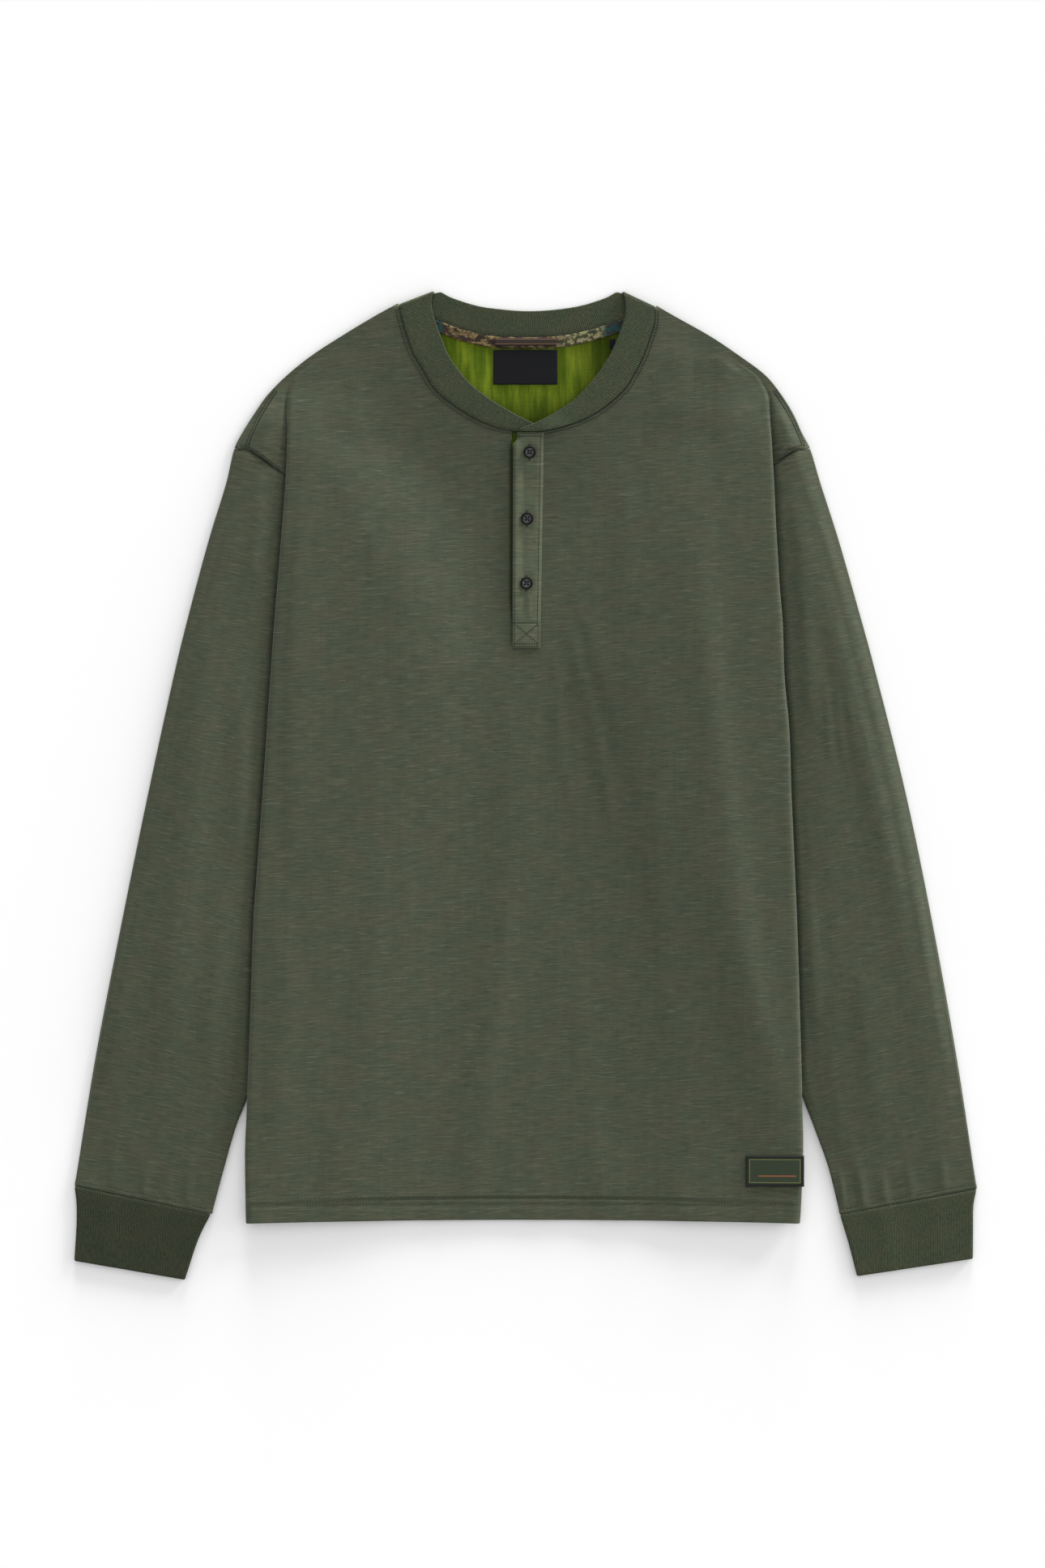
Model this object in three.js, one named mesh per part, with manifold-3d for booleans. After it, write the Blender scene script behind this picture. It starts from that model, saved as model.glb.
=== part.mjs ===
// A long-sleeved henley shirt, buttoned and laid flat on its back, in millimetres with +Z up.
// Its hem points to -Y, its collar to +Y, and its underside lies on z = 0.
// The body's two sides are folded under in a flat Z, and the sleeves come out from below them.
// A place is given by u, the distance outward from the middle line, on the left (-X) or right (+X) side.
import * as THREE from "three";
import { mergeVertices } from "three/addons/utils/BufferGeometryUtils.js";
import Module from "manifold-3d";

const wasm = await Module();
wasm.setup();

// Cloth thicknesses and the spaces kept between layers
const CLOTH = 1.2;
const RIB = 2.4;
const CUFF_WALL = 1.6;
const TRIM = 0.8;
const LAYER_GAP = 0.4;
const SEAM_GAP = 0.45;
const REST_GAP = 0.3;
const NEAR = LAYER_GAP / 2;
const FAR = NEAR + CLOTH;
const PAIR_Z = FAR;
const PAIR_HALF = NEAR + CLOTH / 2;

// The Z fold at each side of the body: three passes of front and back cloth over each other
const FOLD_RADIUS = 2;
const PASS_RISE = 2 * FOLD_RADIUS;
const FOLD_START_Y = 318;
const ARMPIT_Y = 87.3;
const RAMP = 50;
const RAMP_CLEAR = 6;
const LEAST_RAMP_SHARE = 0.3;
const BEND_ROOM = 0.7;

// Levels of the body's rows, from the hem to the shoulder
const HEM_Y = -340.5;
const SLIT_END_Y = 107.4;
const NECK_FRONT_Y = 274.1;
const NECK_BACK_Y = 347.6;
const SHOULDER_Y = 261.6;
const PATCH_ROWS = { bottom: -311.6, top: -287.6 };
const LOW_ROWS = [HEM_Y, PATCH_ROWS.bottom, PATCH_ROWS.top, -215, -110, -5, 45];
const ARMHOLE_ROWS = [ARMPIT_Y, SLIT_END_Y, 135, 161, 190, 217, 235, 243, 249, 254, 258, SHOULDER_Y];
const SHOULDER_ROWS = [268, NECK_FRONT_Y, 278, 281, 284, 287.5, 292, 297, 302, 307, 312, FOLD_START_Y];
const TIP_Y = 369.2;
const FRONT_TOP_ROWS = [327, 337, 348, 359, 366, TIP_Y];
const BACK_TOP_ROWS = [327, 337, NECK_BACK_Y, 350, 354.5, 360, 366, TIP_Y];
const HEM_RISE = 2.5;
const HEM_RISE_REACH = 50;

// The placket and its buttons
const SLIT = { left: 10.4, right: 9.7 };
const PLACKET_THICK = 1.4;
const PLACKET_EDGES = [
  { y: 106.2, left: -10.1, right: 11.7 },
  { y: 264.8, left: -9.3, right: 14.4 },
  { y: 268.8, left: -6.2, right: 14.5 },
  { y: 273.6, left: -6.1, right: 14.5 },
];
const PLACKET_BOTTOM_Y = PLACKET_EDGES[0].y;
const PLACKET_TOP_Y = PLACKET_EDGES.at(-1).y;
const FLAP_COLUMNS = 4;
const UNDERLAY_COLUMNS = 3;
const BUTTONS = [
  { name: "button_1", x: 3.4, y: 258.2 },
  { name: "button_2", x: 1.4, y: 206.7 },
  { name: "button_3", x: 0.9, y: 156.6 },
];
const BUTTON_PROFILE = [
  { radius: 0, height: 0 },
  { radius: 3.6, height: 0 },
  { radius: 4.8, height: 0.7 },
  { radius: 4.8, height: 1.5 },
  { radius: 4.3, height: 2 },
  { radius: 3.5, height: 2 },
  { radius: 2.9, height: 1.4 },
  { radius: 0, height: 1.4 },
];
const BUTTON_SIDES = 20;
const BUTTON_CLEARANCE = 0.1;
const BUTTON_HOLE = { radius: 0.6, offset: 1.1, length: 6, sides: 8 };

// The outline from the neck point down the shoulder and the sleeve's outer side
const OUTER_EDGE = [
  { y: 374, left: 98.8, right: 98.8 },
  { y: 371.4, left: 103.6, right: 103 },
  { y: 363.8, left: 117.5, right: 116.2 },
  { y: 348.7, left: 142.7, right: 143.3 },
  { y: 333.6, left: 166, right: 166 },
  { y: 318.5, left: 184.9, right: 186.2 },
  { y: 303.3, left: 200, right: 198.8 },
  { y: 288.2, left: 210.7, right: 208.2 },
  { y: 273.1, left: 220.2, right: 215.1 },
  { y: 261.8, left: 225.9, right: 221 },
  { y: 235.3, left: 232.2, right: 229 },
  { y: 194.4, left: 244.8, right: 242.2 },
  { y: 144, left: 258.6, right: 256.7 },
  { y: 93.6, left: 271.2, right: 270.6 },
  { y: -7.2, left: 293.3, right: 295.8 },
  { y: -108, left: 314, right: 316.6 },
  { y: -208.8, left: 333.6, right: 334.8 },
  { y: -313.4, left: 350.6, right: 350.9 },
];

// The body's fold edges, which stand above the sleeves
const FOLD_EDGE = [
  { y: -341, left: 217, right: 213.3 },
  { y: -324, left: 217.3, right: 214.3 },
  { y: -284, left: 217.7, right: 215.8 },
  { y: -253, left: 216.4, right: 215.2 },
  { y: -171, left: 213.3, right: 213 },
  { y: -108, left: 211.2, right: 211 },
  { y: -61, left: 207.9, right: 209 },
  { y: -7, left: 204, right: 206.6 },
  { y: 44.4, left: 200.6, right: 204.8 },
  { y: 82, left: 198, right: 201.3 },
  { y: 125, left: 195, right: 199.8 },
  { y: 154, left: 192.6, right: 197.5 },
  { y: 201, left: 188.8, right: 194.7 },
  { y: 235, left: 186.3, right: 193.1 },
  { y: 270, left: 185, right: 191.2 },
  { y: 288, left: 185.2, right: 189.9 },
  { y: 318, left: 177, right: 178 },
  { y: 374, left: 92, right: 92 },
];

// How far the fold reaches back under the body, and how far round the cloth turns in it
const FOLD_DEPTH = [
  { y: -341, width: 54 },
  { y: ARMPIT_Y, width: 92 },
  { y: 124, width: 84 },
  { y: 161, width: 70 },
  { y: 217, width: 42 },
  { y: 245, width: 22 },
  { y: 276, width: 0 },
  { y: 374, width: 0 },
];
const FOLD_TURN = [
  { y: -341, degrees: 180 },
  { y: 278, degrees: 180 },
  { y: 285, degrees: 148 },
  { y: 292, degrees: 110 },
  { y: 298, degrees: 75 },
  { y: 304, degrees: 50 },
  { y: 311, degrees: 28 },
  { y: FOLD_START_Y, degrees: 0 },
  { y: 374, degrees: 0 },
];
const LEAST_TURN = 0.02;
const LEAST_DEPTH = 0.5;
const WIDEST_ARC = 6.5;

// The armhole seam, down which the body's lowest pass meets the sleeve
const ARMHOLE = [
  { y: 261.8, u: 225.9 },
  { y: 260, u: 214 },
  { y: 253.5, u: 203.8 },
  { y: 247.9, u: 196.9 },
  { y: 242, u: 187.8 },
  { y: 217, u: 170 },
  { y: 161, u: 140.2 },
  { y: 124, u: 127.5 },
  { y: ARMPIT_Y, u: 118 },
];

// The sleeve's underarm edge, hidden below the body as far as y = -242
const UNDERARM_EDGE = [
  { y: 86.6, left: 107, right: 107 },
  { y: -80, left: 161, right: 161 },
  { y: -242.2, left: 215.8, right: 215.4 },
  { y: -265.5, left: 224.9, right: 224.2 },
  { y: -297, left: 234, right: 235.5 },
  { y: -333, left: 243.6, right: 244.4 },
];
const SLEEVE_PUFF = 2.6;
const PUFF_REACH = 28;
const PUFF_CLEAR = 2;
const PUFF_ENDS = { top: 8, cuff: 12 };
const SEAM_BOW_FADE = 4;
const SLEEVE_STATIONS = 11;
const EDGE_STEPS = 4;

// The cuffs, from the seam to the open end
const CUFF = {
  left: [
    { outU: 350.4, outY: -311.6, inU: 244.6, inY: -333.8 },
    { outU: 348.9, outY: -325, inU: 251, inY: -346 },
    { outU: 348.9, outY: -342, inU: 256, inY: -358 },
    { outU: 350.6, outY: -369.8, inU: 264.6, inY: -384.6 },
  ],
  right: [
    { outU: 350.7, outY: -314.2, inU: 244.6, inY: -334 },
    { outU: 348.3, outY: -327, inU: 248.2, inY: -346 },
    { outU: 348.1, outY: -345, inU: 252.3, inY: -360 },
    { outU: 347.9, outY: -368.2, inU: 257.8, inY: -381.8 },
  ],
};
const CUFF_ACROSS = 6;

// The collar band from its left end round the back to its right end
const COLLAR_FRONT_LEFT = [
  { seamX: 8, seamY: 273.9, freeX: 10, freeY: 279.6 },
  { seamX: -6, seamY: 274.5, freeX: 2.2, freeY: 282.8 },
  { seamX: -25.5, seamY: 278.5, freeX: -13.5, freeY: 291 },
  { seamX: -48.2, seamY: 289.7, freeX: -32.4, freeY: 303 },
  { seamX: -69, seamY: 305.9, freeX: -46.5, freeY: 315.5 },
  { seamX: -79.7, seamY: 322.9, freeX: -58.9, freeY: 332.3 },
  { seamX: -87.3, seamY: 335.5, freeX: -64, freeY: 344 },
  { seamX: -92.9, seamY: 351.9, freeX: -69.5, freeY: 359 },
  { seamX: -96.7, seamY: 365.4, freeX: -72.8, freeY: 371.5 },
  { seamX: -97.6, seamY: 371.2, freeX: -73, freeY: 380.7 },
];
const COLLAR_BACK = [
  { seamX: -97.6, seamY: 371.2, freeX: -71.4, freeY: 381.3 },
  { seamX: -84, seamY: 366.9, freeX: -65, freeY: 381.6 },
  { seamX: -68.4, seamY: 361, freeX: -53.9, freeY: 377.3 },
  { seamX: -48, seamY: 353.8, freeX: -36.2, freeY: 372 },
  { seamX: -24.9, seamY: 348.9, freeX: -18, freeY: 369.5 },
  { seamX: 0, seamY: 348.1, freeX: 0, freeY: 368.2 },
  { seamX: 24.9, seamY: 348.9, freeX: 20.5, freeY: 369 },
  { seamX: 48.2, seamY: 353.2, freeX: 42.5, freeY: 372.2 },
  { seamX: 73.4, seamY: 361, freeX: 59.5, freeY: 377.3 },
  { seamX: 89, seamY: 366.4, freeX: 70, freeY: 381.4 },
  { seamX: 100.6, seamY: 369.4, freeX: 76, freeY: 381.2 },
];
const COLLAR_FRONT_RIGHT = [
  { seamX: 100.6, seamY: 369.4, freeX: 77.4, freeY: 380.4 },
  { seamX: 99.9, seamY: 357.5, freeX: 77.6, freeY: 366 },
  { seamX: 96, seamY: 345, freeX: 74.2, freeY: 354 },
  { seamX: 91.7, seamY: 333, freeX: 68.7, freeY: 340.1 },
  { seamX: 84.5, seamY: 319, freeX: 63, freeY: 329.5 },
  { seamX: 75.9, seamY: 305.9, freeX: 52.5, freeY: 314.5 },
  { seamX: 56.4, seamY: 289.7, freeX: 39, freeY: 300 },
  { seamX: 35.6, seamY: 280, freeX: 24, freeY: 289.6 },
  { seamX: 12.9, seamY: 274.6, freeX: 9, freeY: 281.6 },
  { seamX: -4.6, seamY: 274.4, freeX: -3.6, freeY: 276.8 },
];
const COLLAR_FRONT_STATIONS = 15;
const COLLAR_BACK_STATIONS = 12;
const TURN_STEPS = 5;
const END_OVERLAP_X = 14;
const END_RAMP = 26;

// The neck opening holds the front up a little off the back
const NECK_HUMP = { height: 7, reachX: 170, reachY: 150, middleY: 350 };
const FACES_UP = 0.5;

// The tape over the back neck seam, with its labels, and the patch at the hem
const TAPE = { left: -70, right: 78, deep: 9, steps: 12 };
const STRIP_LABEL = { left: -23.6, right: 24.3, bottom: 341.2, top: 346.9 };
const NECK_LABEL = { left: -24.9, right: 24.9, bottom: 311, top: 338 };
const SIZE_TAB = { left: 65.5, right: 69.6, bottom: 339.3, top: 346.4 };
const HEM_PATCH = { inner: 171, outer: 216.2, bottom: PATCH_ROWS.bottom, top: PATCH_ROWS.top, steps: 6 };

// Columns of a body panel on each side, from its outer end to the middle
const COLUMNS = { bottom: 2, arc: 4, middle: 2, ramp: 4, flat: 2 };
const EXTRA_COLUMNS = COLUMNS.bottom + COLUMNS.arc;
const SIDE_COLUMNS = EXTRA_COLUMNS + COLUMNS.middle + COLUMNS.arc + COLUMNS.ramp + COLUMNS.flat;

const SIDES = ["left", "right"];
const signOf = (side) => (side === "left" ? -1 : 1);
const mix = (a, b, t) => a + (b - a) * t;
const limit = (value) => Math.min(1, Math.max(0, value));
const smooth = (value) => limit(value) ** 2 * (3 - 2 * limit(value));

// The stretch of a table where the key column has a given value, and the share of the way along it.
function stretchAt(rows, key, at) {
  const rising = rows[rows.length - 1][key] > rows[0][key];
  const list = rising ? rows : [...rows].reverse();
  let i = 0;
  while (i < list.length - 2 && list[i + 1][key] < at) i += 1;
  const t = limit((at - list[i][key]) / (list[i + 1][key] - list[i][key]));
  return { list, i, t };
}

// A smooth curve through a table's rows: the column's value where the key column has the given value.
function track(rows, key, column, at) {
  const { list, i, t } = stretchAt(rows, key, at);
  const slope = (k) => {
    const before = list[Math.max(0, k - 1)];
    const after = list[Math.min(list.length - 1, k + 1)];
    return (after[column] - before[column]) / (after[key] - before[key]);
  };
  const span = list[i + 1][key] - list[i][key];
  const ease = t * t * (3 - 2 * t);
  const lead = t * (1 - t) * (1 - t) * span * slope(i);
  const tail = t * t * (t - 1) * span * slope(i + 1);
  return mix(list[i][column], list[i + 1][column], ease) + lead + tail;
}

// The same, with straight lines between the rows.
function straightTrack(rows, key, column, at) {
  const { list, i, t } = stretchAt(rows, key, at);
  return mix(list[i][column], list[i + 1][column], t);
}

// A closed wall between two offsets of a grid of points. has(i, j) says which of its cells exist.
function wall(points, normals, near, far, has, closed = false) {
  const rows = points.length;
  const columns = points[0].length;
  const positions = [];
  for (const offset of [near, far]) {
    points.forEach((row, j) =>
      row.forEach((point, i) => {
        const moved = point.clone().addScaledVector(normals[j][i], offset);
        positions.push(moved.x, moved.y, moved.z);
      }),
    );
  }
  const cellColumns = closed ? columns : columns - 1;
  const at = (i, j, layer) => layer * rows * columns + j * columns + (i % columns);
  const present = (i, j) => {
    if (j < 0 || j >= rows - 1) return false;
    if (closed) return has((i + cellColumns) % cellColumns, j);
    return i >= 0 && i < cellColumns && has(i, j);
  };
  const index = [];
  const quad = (a, b, c, d) => index.push(a, b, c, a, c, d);
  for (let j = 0; j < rows - 1; j += 1) {
    for (let i = 0; i < cellColumns; i += 1) {
      if (!present(i, j)) continue;
      quad(at(i, j, 1), at(i + 1, j, 1), at(i + 1, j + 1, 1), at(i, j + 1, 1));
      quad(at(i, j, 0), at(i, j + 1, 0), at(i + 1, j + 1, 0), at(i + 1, j, 0));
      if (!present(i, j - 1)) quad(at(i, j, 0), at(i + 1, j, 0), at(i + 1, j, 1), at(i, j, 1));
      if (!present(i, j + 1)) {
        quad(at(i + 1, j + 1, 0), at(i, j + 1, 0), at(i, j + 1, 1), at(i + 1, j + 1, 1));
      }
      if (!present(i - 1, j)) quad(at(i, j + 1, 0), at(i, j, 0), at(i, j, 1), at(i, j + 1, 1));
      if (!present(i + 1, j)) {
        quad(at(i + 1, j, 0), at(i + 1, j + 1, 0), at(i + 1, j + 1, 1), at(i + 1, j, 1));
      }
    }
  }
  const geometry = new THREE.BufferGeometry();
  geometry.setAttribute("position", new THREE.Float32BufferAttribute(positions, 3));
  geometry.setIndex(index);
  return geometry;
}

// Normals of a grid, from its neighbouring points along both directions.
function gridNormals(points, closed = false) {
  const rows = points.length;
  const columns = points[0].length;
  return points.map((row, j) =>
    row.map((_, i) => {
      const before = closed ? (i + columns - 1) % columns : Math.max(0, i - 1);
      const after = closed ? (i + 1) % columns : Math.min(columns - 1, i + 1);
      const across = points[j][after].clone().sub(points[j][before]);
      const along = points[Math.min(rows - 1, j + 1)][i].clone().sub(points[Math.max(0, j - 1)][i]);
      return across.cross(along).normalize();
    }),
  );
}

const everyCell = () => true;
const sheet = (points, thick) => wall(points, gridNormals(points), -thick / 2, thick / 2, everyCell);

// How high the front is held off the back near the neck.
function neckHump(x, y) {
  const away = Math.hypot(x / NECK_HUMP.reachX, (y - NECK_HUMP.middleY) / NECK_HUMP.reachY);
  return NECK_HUMP.height * smooth(1 - away);
}

const foldEdge = (side, y) => track(FOLD_EDGE, "y", side, y);
const outerEdge = (side, y) => track(OUTER_EDGE, "y", side, y);
const foldDepth = (y) => Math.max(LEAST_DEPTH, track(FOLD_DEPTH, "y", "width", y));
const foldTurn = (y) => {
  const degrees = straightTrack(FOLD_TURN, "y", "degrees", y);
  return Math.max(LEAST_TURN, THREE.MathUtils.degToRad(degrees));
};

// The armhole runs a little nearer the middle on the side whose shoulder is shorter.
function armholeEdge(side, y) {
  const shoulder = outerEdge(side, SHOULDER_Y) - ARMHOLE[0].u;
  return straightTrack(ARMHOLE, "y", "u", y) + shoulder * smooth((y - ARMPIT_Y) / (SHOULDER_Y - ARMPIT_Y));
}

// The length of one bend of the fold, so that the two bends together rise by two passes at most.
function bendLength(side, y) {
  const turn = foldTurn(y);
  const full = (PASS_RISE * turn) / (1 - Math.cos(turn));
  const room = Math.max(1, (outerEdge(side, y) - foldEdge(side, y)) * BEND_ROOM);
  return turn > Math.PI / 2 ? full : Math.min(full, WIDEST_ARC, room);
}

// The whole rise of the fold from the lowest pass to the top one.
function foldRise(side, y) {
  const turn = foldTurn(y);
  return (2 * bendLength(side, y) * (1 - Math.cos(turn))) / turn + foldDepth(y) * Math.sin(turn);
}

// The line where the folded strip ends: the side seam, or the inner bend above the armpit.
const stripEdge = (side, y) => foldEdge(side, y) - foldDepth(y);

// The line beyond which something lies below the strip: the sleeve, or the lowest pass.
function liftEdge(side, y) {
  if (y >= ARMPIT_Y) return stripEdge(side, y);
  return track(UNDERARM_EDGE, "y", side, y);
}
const rampTo = (edge, u) => smooth((u - (edge - RAMP_CLEAR - RAMP)) / RAMP);

// Height of the pair of cloths in the top pass, and in the folded strip below it.
function topHeight(side, u, y) {
  const share = rampTo(liftEdge(side, y), u) + rampTo(stripEdge(side, y), u);
  return PAIR_Z + (foldRise(side, y) / 2) * share;
}
const stripHeight = (side, u, y) => PAIR_Z + PASS_RISE * rampTo(liftEdge(side, y), u);
const frontHeight = (side, u, y) => topHeight(side, u, y) + PAIR_HALF + neckHump(u, y);

// A row of the body above the fold, where front and back lie flat.
function flatSection(outerEnd, innerEnd) {
  const section = [];
  for (let k = 0; k <= SIDE_COLUMNS; k += 1) {
    section.push({ u: mix(outerEnd, innerEnd, k / SIDE_COLUMNS), z: PAIR_Z });
  }
  return section;
}

// One row of the body on one side, from the outer end of the lowest pass to the middle.
function bodySection(side, y, innerEnd) {
  if (y > FOLD_START_Y) return flatSection(outerEdge(side, y), innerEnd);
  const turn = foldTurn(y);
  const bend = bendLength(side, y);
  const radius = bend / turn;
  const depth = foldDepth(y);
  const above = y >= ARMPIT_Y;
  const outermost = foldEdge(side, y) - FAR;
  const topEnd = outermost - radius * Math.sin(Math.min(turn, Math.PI / 2));
  const topStart = { u: topEnd, z: topHeight(side, topEnd, y) };
  const section = [];
  const bendEnd = topEnd + 2 * radius * Math.sin(turn) + depth * Math.cos(turn);
  const outerEnd = y > SHOULDER_Y ? outerEdge(side, y) : armholeEdge(side, y);
  for (let k = 0; k < COLUMNS.bottom; k += 1) {
    section.push({ u: mix(outerEnd, bendEnd, k / COLUMNS.bottom), z: PAIR_Z });
  }
  for (let k = 0; k < COLUMNS.arc; k += 1) {
    const angle = (turn * k) / COLUMNS.arc;
    section.push({ u: bendEnd - radius * Math.sin(angle), z: PAIR_Z + radius * (1 - Math.cos(angle)) });
  }
  const stripStartZ = PAIR_Z + radius * (1 - Math.cos(turn));
  for (let k = 0; k < COLUMNS.middle; k += 1) {
    const share = k / COLUMNS.middle;
    const u = topEnd + radius * Math.sin(turn) + depth * Math.cos(turn) * (1 - share);
    const z = above ? stripStartZ + depth * Math.sin(turn) * share : stripHeight(side, u, y);
    section.push({ u, z });
  }
  for (let k = 0; k < COLUMNS.arc; k += 1) {
    const angle = turn * (1 - k / COLUMNS.arc);
    const drop = radius * (1 - Math.cos(angle));
    section.push({ u: topEnd + radius * Math.sin(angle), z: topStart.z - drop });
  }
  const rampEnd = Math.max(stripEdge(side, y) - RAMP_CLEAR - RAMP, mix(innerEnd, topEnd, LEAST_RAMP_SHARE));
  for (let k = 0; k < COLUMNS.ramp; k += 1) {
    const u = mix(topEnd, rampEnd, k / COLUMNS.ramp);
    section.push({ u, z: topHeight(side, u, y) });
  }
  for (let k = 0; k <= COLUMNS.flat; k += 1) {
    const u = mix(rampEnd, innerEnd, k / COLUMNS.flat);
    section.push({ u, z: topHeight(side, u, y) });
  }
  return section;
}

// Direction across a section: up in the top pass, outward in the outer bend, down in the strip.
function sectionNormals(section) {
  return section.map((_, k) => {
    const before = section[Math.max(0, k - 1)];
    const after = section[Math.min(section.length - 1, k + 1)];
    const du = after.u - before.u;
    const dz = after.z - before.z;
    const length = Math.hypot(du, dz);
    return { u: dz / length, z: -du / length };
  });
}

// The hem sags a little less in the middle than at its corners.
function hemRise(side, u, y) {
  const low = smooth((HEM_Y + HEM_RISE_REACH - y) / HEM_RISE_REACH);
  return HEM_RISE * low * (1 - (u / foldEdge(side, y)) ** 2);
}

// Points and normals of the sheet midway between front and back, over both sides.
function bodySheet(rows, innerEndOf) {
  const points = [];
  const normals = [];
  for (const y of rows) {
    const pointRow = [];
    const normalRow = [];
    for (const side of SIDES) {
      const section = bodySection(side, y, innerEndOf(side, y));
      const across = sectionNormals(section);
      const sign = signOf(side);
      const order = section.map((_, k) => (side === "left" ? k : section.length - 1 - k));
      for (const k of order) {
        const { u, z } = section[k];
        pointRow.push(new THREE.Vector3(sign * u, y + hemRise(side, u, y), z));
        normalRow.push(new THREE.Vector3(sign * across[k].u, 0, across[k].z));
      }
    }
    points.push(pointRow);
    normals.push(normalRow);
  }
  return { points, normals };
}

// A body panel has no lowest pass below the armpit, and no middle cell where it is open.
function bodyCells(rows, openFrom) {
  const total = 2 * SIDE_COLUMNS + 1;
  return (i, j) => {
    const fromSide = Math.min(i, total - 1 - i);
    if (fromSide < EXTRA_COLUMNS && rows[j] < ARMPIT_Y) return false;
    return i !== SIDE_COLUMNS || rows[j] < openFrom;
  };
}

const frontSeamOf = (side) => (side === "left" ? COLLAR_FRONT_LEFT : COLLAR_FRONT_RIGHT);

// Where the front ends towards the middle: at the placket's slit, then along the neck seam.
function frontInner(side, y) {
  if (y <= NECK_FRONT_Y) return SLIT[side];
  const rows = frontSeamOf(side).filter((row) => signOf(side) * row.seamX > 0);
  return Math.max(SLIT[side], signOf(side) * track(rows, "seamY", "seamX", y + SEAM_GAP));
}

function backInner(side, y) {
  if (y <= NECK_BACK_Y) return SLIT[side];
  const rows = COLLAR_BACK.filter((row) => signOf(side) * row.seamX >= 0);
  return Math.max(SLIT[side], signOf(side) * track(rows, "seamY", "seamX", y + SEAM_GAP));
}

const FRONT_ROWS = [...LOW_ROWS, ...ARMHOLE_ROWS, ...SHOULDER_ROWS, ...FRONT_TOP_ROWS];
const BACK_ROWS = [...LOW_ROWS, ...ARMHOLE_ROWS, ...SHOULDER_ROWS, ...BACK_TOP_ROWS];

function front() {
  const { points, normals } = bodySheet(FRONT_ROWS, frontInner);
  points.forEach((row, j) =>
    row.forEach((point, i) => {
      if (normals[j][i].z > FACES_UP) point.z += neckHump(point.x, point.y);
    }),
  );
  return wall(points, normals, NEAR, FAR, bodyCells(FRONT_ROWS, SLIT_END_Y));
}

function back() {
  const { points, normals } = bodySheet(BACK_ROWS, backInner);
  return wall(points, normals, -FAR, -NEAR, bodyCells(BACK_ROWS, NECK_BACK_Y));
}

// The place across a sleeve: along the armhole at its top, straight across further down.
function sleevePlace(side, along, levelY) {
  const startY = SHOULDER_Y - SEAM_GAP;
  const endY = UNDERARM_EDGE[0].y;
  const cuff = CUFF[side][0];
  const outY = mix(startY, cuff.outY + SEAM_GAP, along);
  const inY = mix(endY, cuff.inY + SEAM_GAP, along);
  const share = (startY - levelY) / (startY - endY);
  const straightY = mix(outY, inY, share);
  const outU = outerEdge(side, outY);
  const inU = track(UNDERARM_EDGE, "y", side, inY);
  const topU = mix(outerEdge(side, startY), UNDERARM_EDGE[0][side], share);
  const seamU = Math.min(outerEdge(side, startY), armholeEdge(side, levelY + SEAM_GAP) + SEAM_GAP);
  const bow = (seamU - topU) * (1 - along) ** SEAM_BOW_FADE;
  return { u: mix(outU, inU, share) + bow, y: straightY, share };
}

// The visible part of a sleeve stands up softly between the body's fold and its outer edge.
function sleevePuff(side, place, along) {
  const fromBody = smooth((place.u - foldEdge(side, place.y) - PUFF_CLEAR) / PUFF_REACH);
  const fromOuter = smooth((outerEdge(side, place.y) - place.u) / PUFF_REACH);
  const fromUnder = smooth((place.u - track(UNDERARM_EDGE, "y", side, place.y)) / PUFF_REACH);
  const ends = smooth(along * PUFF_ENDS.top) * smooth((1 - along) * PUFF_ENDS.cuff);
  return SLEEVE_PUFF * fromBody * fromOuter * fromUnder * ends;
}

// A flat tube: rings of points with a straight top and bottom and round edges.
function flatTube(stations, thick, gap, puffOf) {
  const half = (thick + gap) / 2;
  const middle = thick + gap / 2;
  const points = stations.map((places) => {
    const first = places[0];
    const last = places[places.length - 1];
    const inset = half + thick / 2;
    const dx = last.x - first.x;
    const dy = last.y - first.y;
    const length = Math.hypot(dx, dy);
    const pull = (place, way) => ({
      x: place.x + (way * inset * dx) / length,
      y: place.y + (way * inset * dy) / length,
    });
    const run = [pull(first, 1), ...places.slice(1, -1), pull(last, -1)];
    const ring = run.map((place, k) => {
      const puff = puffOf ? puffOf(places, k) : 0;
      return new THREE.Vector3(place.x, place.y, middle + half + puff);
    });
    const edge = (place, way) => {
      for (let k = 1; k < EDGE_STEPS; k += 1) {
        const angle = (Math.PI * k) / EDGE_STEPS;
        const reach = way * half * Math.sin(angle);
        const z = middle + half * Math.cos(angle) * (way > 0 ? 1 : -1);
        ring.push(new THREE.Vector3(place.x + (reach * dx) / length, place.y + (reach * dy) / length, z));
      }
    };
    edge(run[run.length - 1], 1);
    [...run].reverse().forEach((place) => ring.push(new THREE.Vector3(place.x, place.y, middle - half)));
    edge(run[0], -1);
    return ring;
  });
  return points;
}

// A tube's rings are turned so that their outside faces outward on either side.
function tubeWall(points, thick) {
  const normals = gridNormals(points, true);
  if (normals[0][1].z < 0) normals.forEach((row) => row.forEach((normal) => normal.negate()));
  const outward = gridNormals(points, true)[0][1].z > 0;
  const rows = outward ? points : [...points].reverse();
  const facing = outward ? normals : [...normals].reverse();
  return wall(rows, facing, -thick / 2, thick / 2, everyCell, true);
}

function sleeve(side) {
  const levels = [...ARMHOLE_ROWS].reverse().map((y) => y - SEAM_GAP);
  levels[levels.length - 1] = UNDERARM_EDGE[0].y;
  const stations = [];
  for (let j = 0; j < SLEEVE_STATIONS; j += 1) {
    const along = j / (SLEEVE_STATIONS - 1);
    stations.push(
      levels.map((level) => {
        const place = sleevePlace(side, along, level);
        return { x: signOf(side) * place.u, y: place.y, puff: sleevePuff(side, place, along) };
      }),
    );
  }
  const points = flatTube(stations, CLOTH, LAYER_GAP, (places, k) => places[k].puff);
  return tubeWall(points, CLOTH);
}

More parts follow.
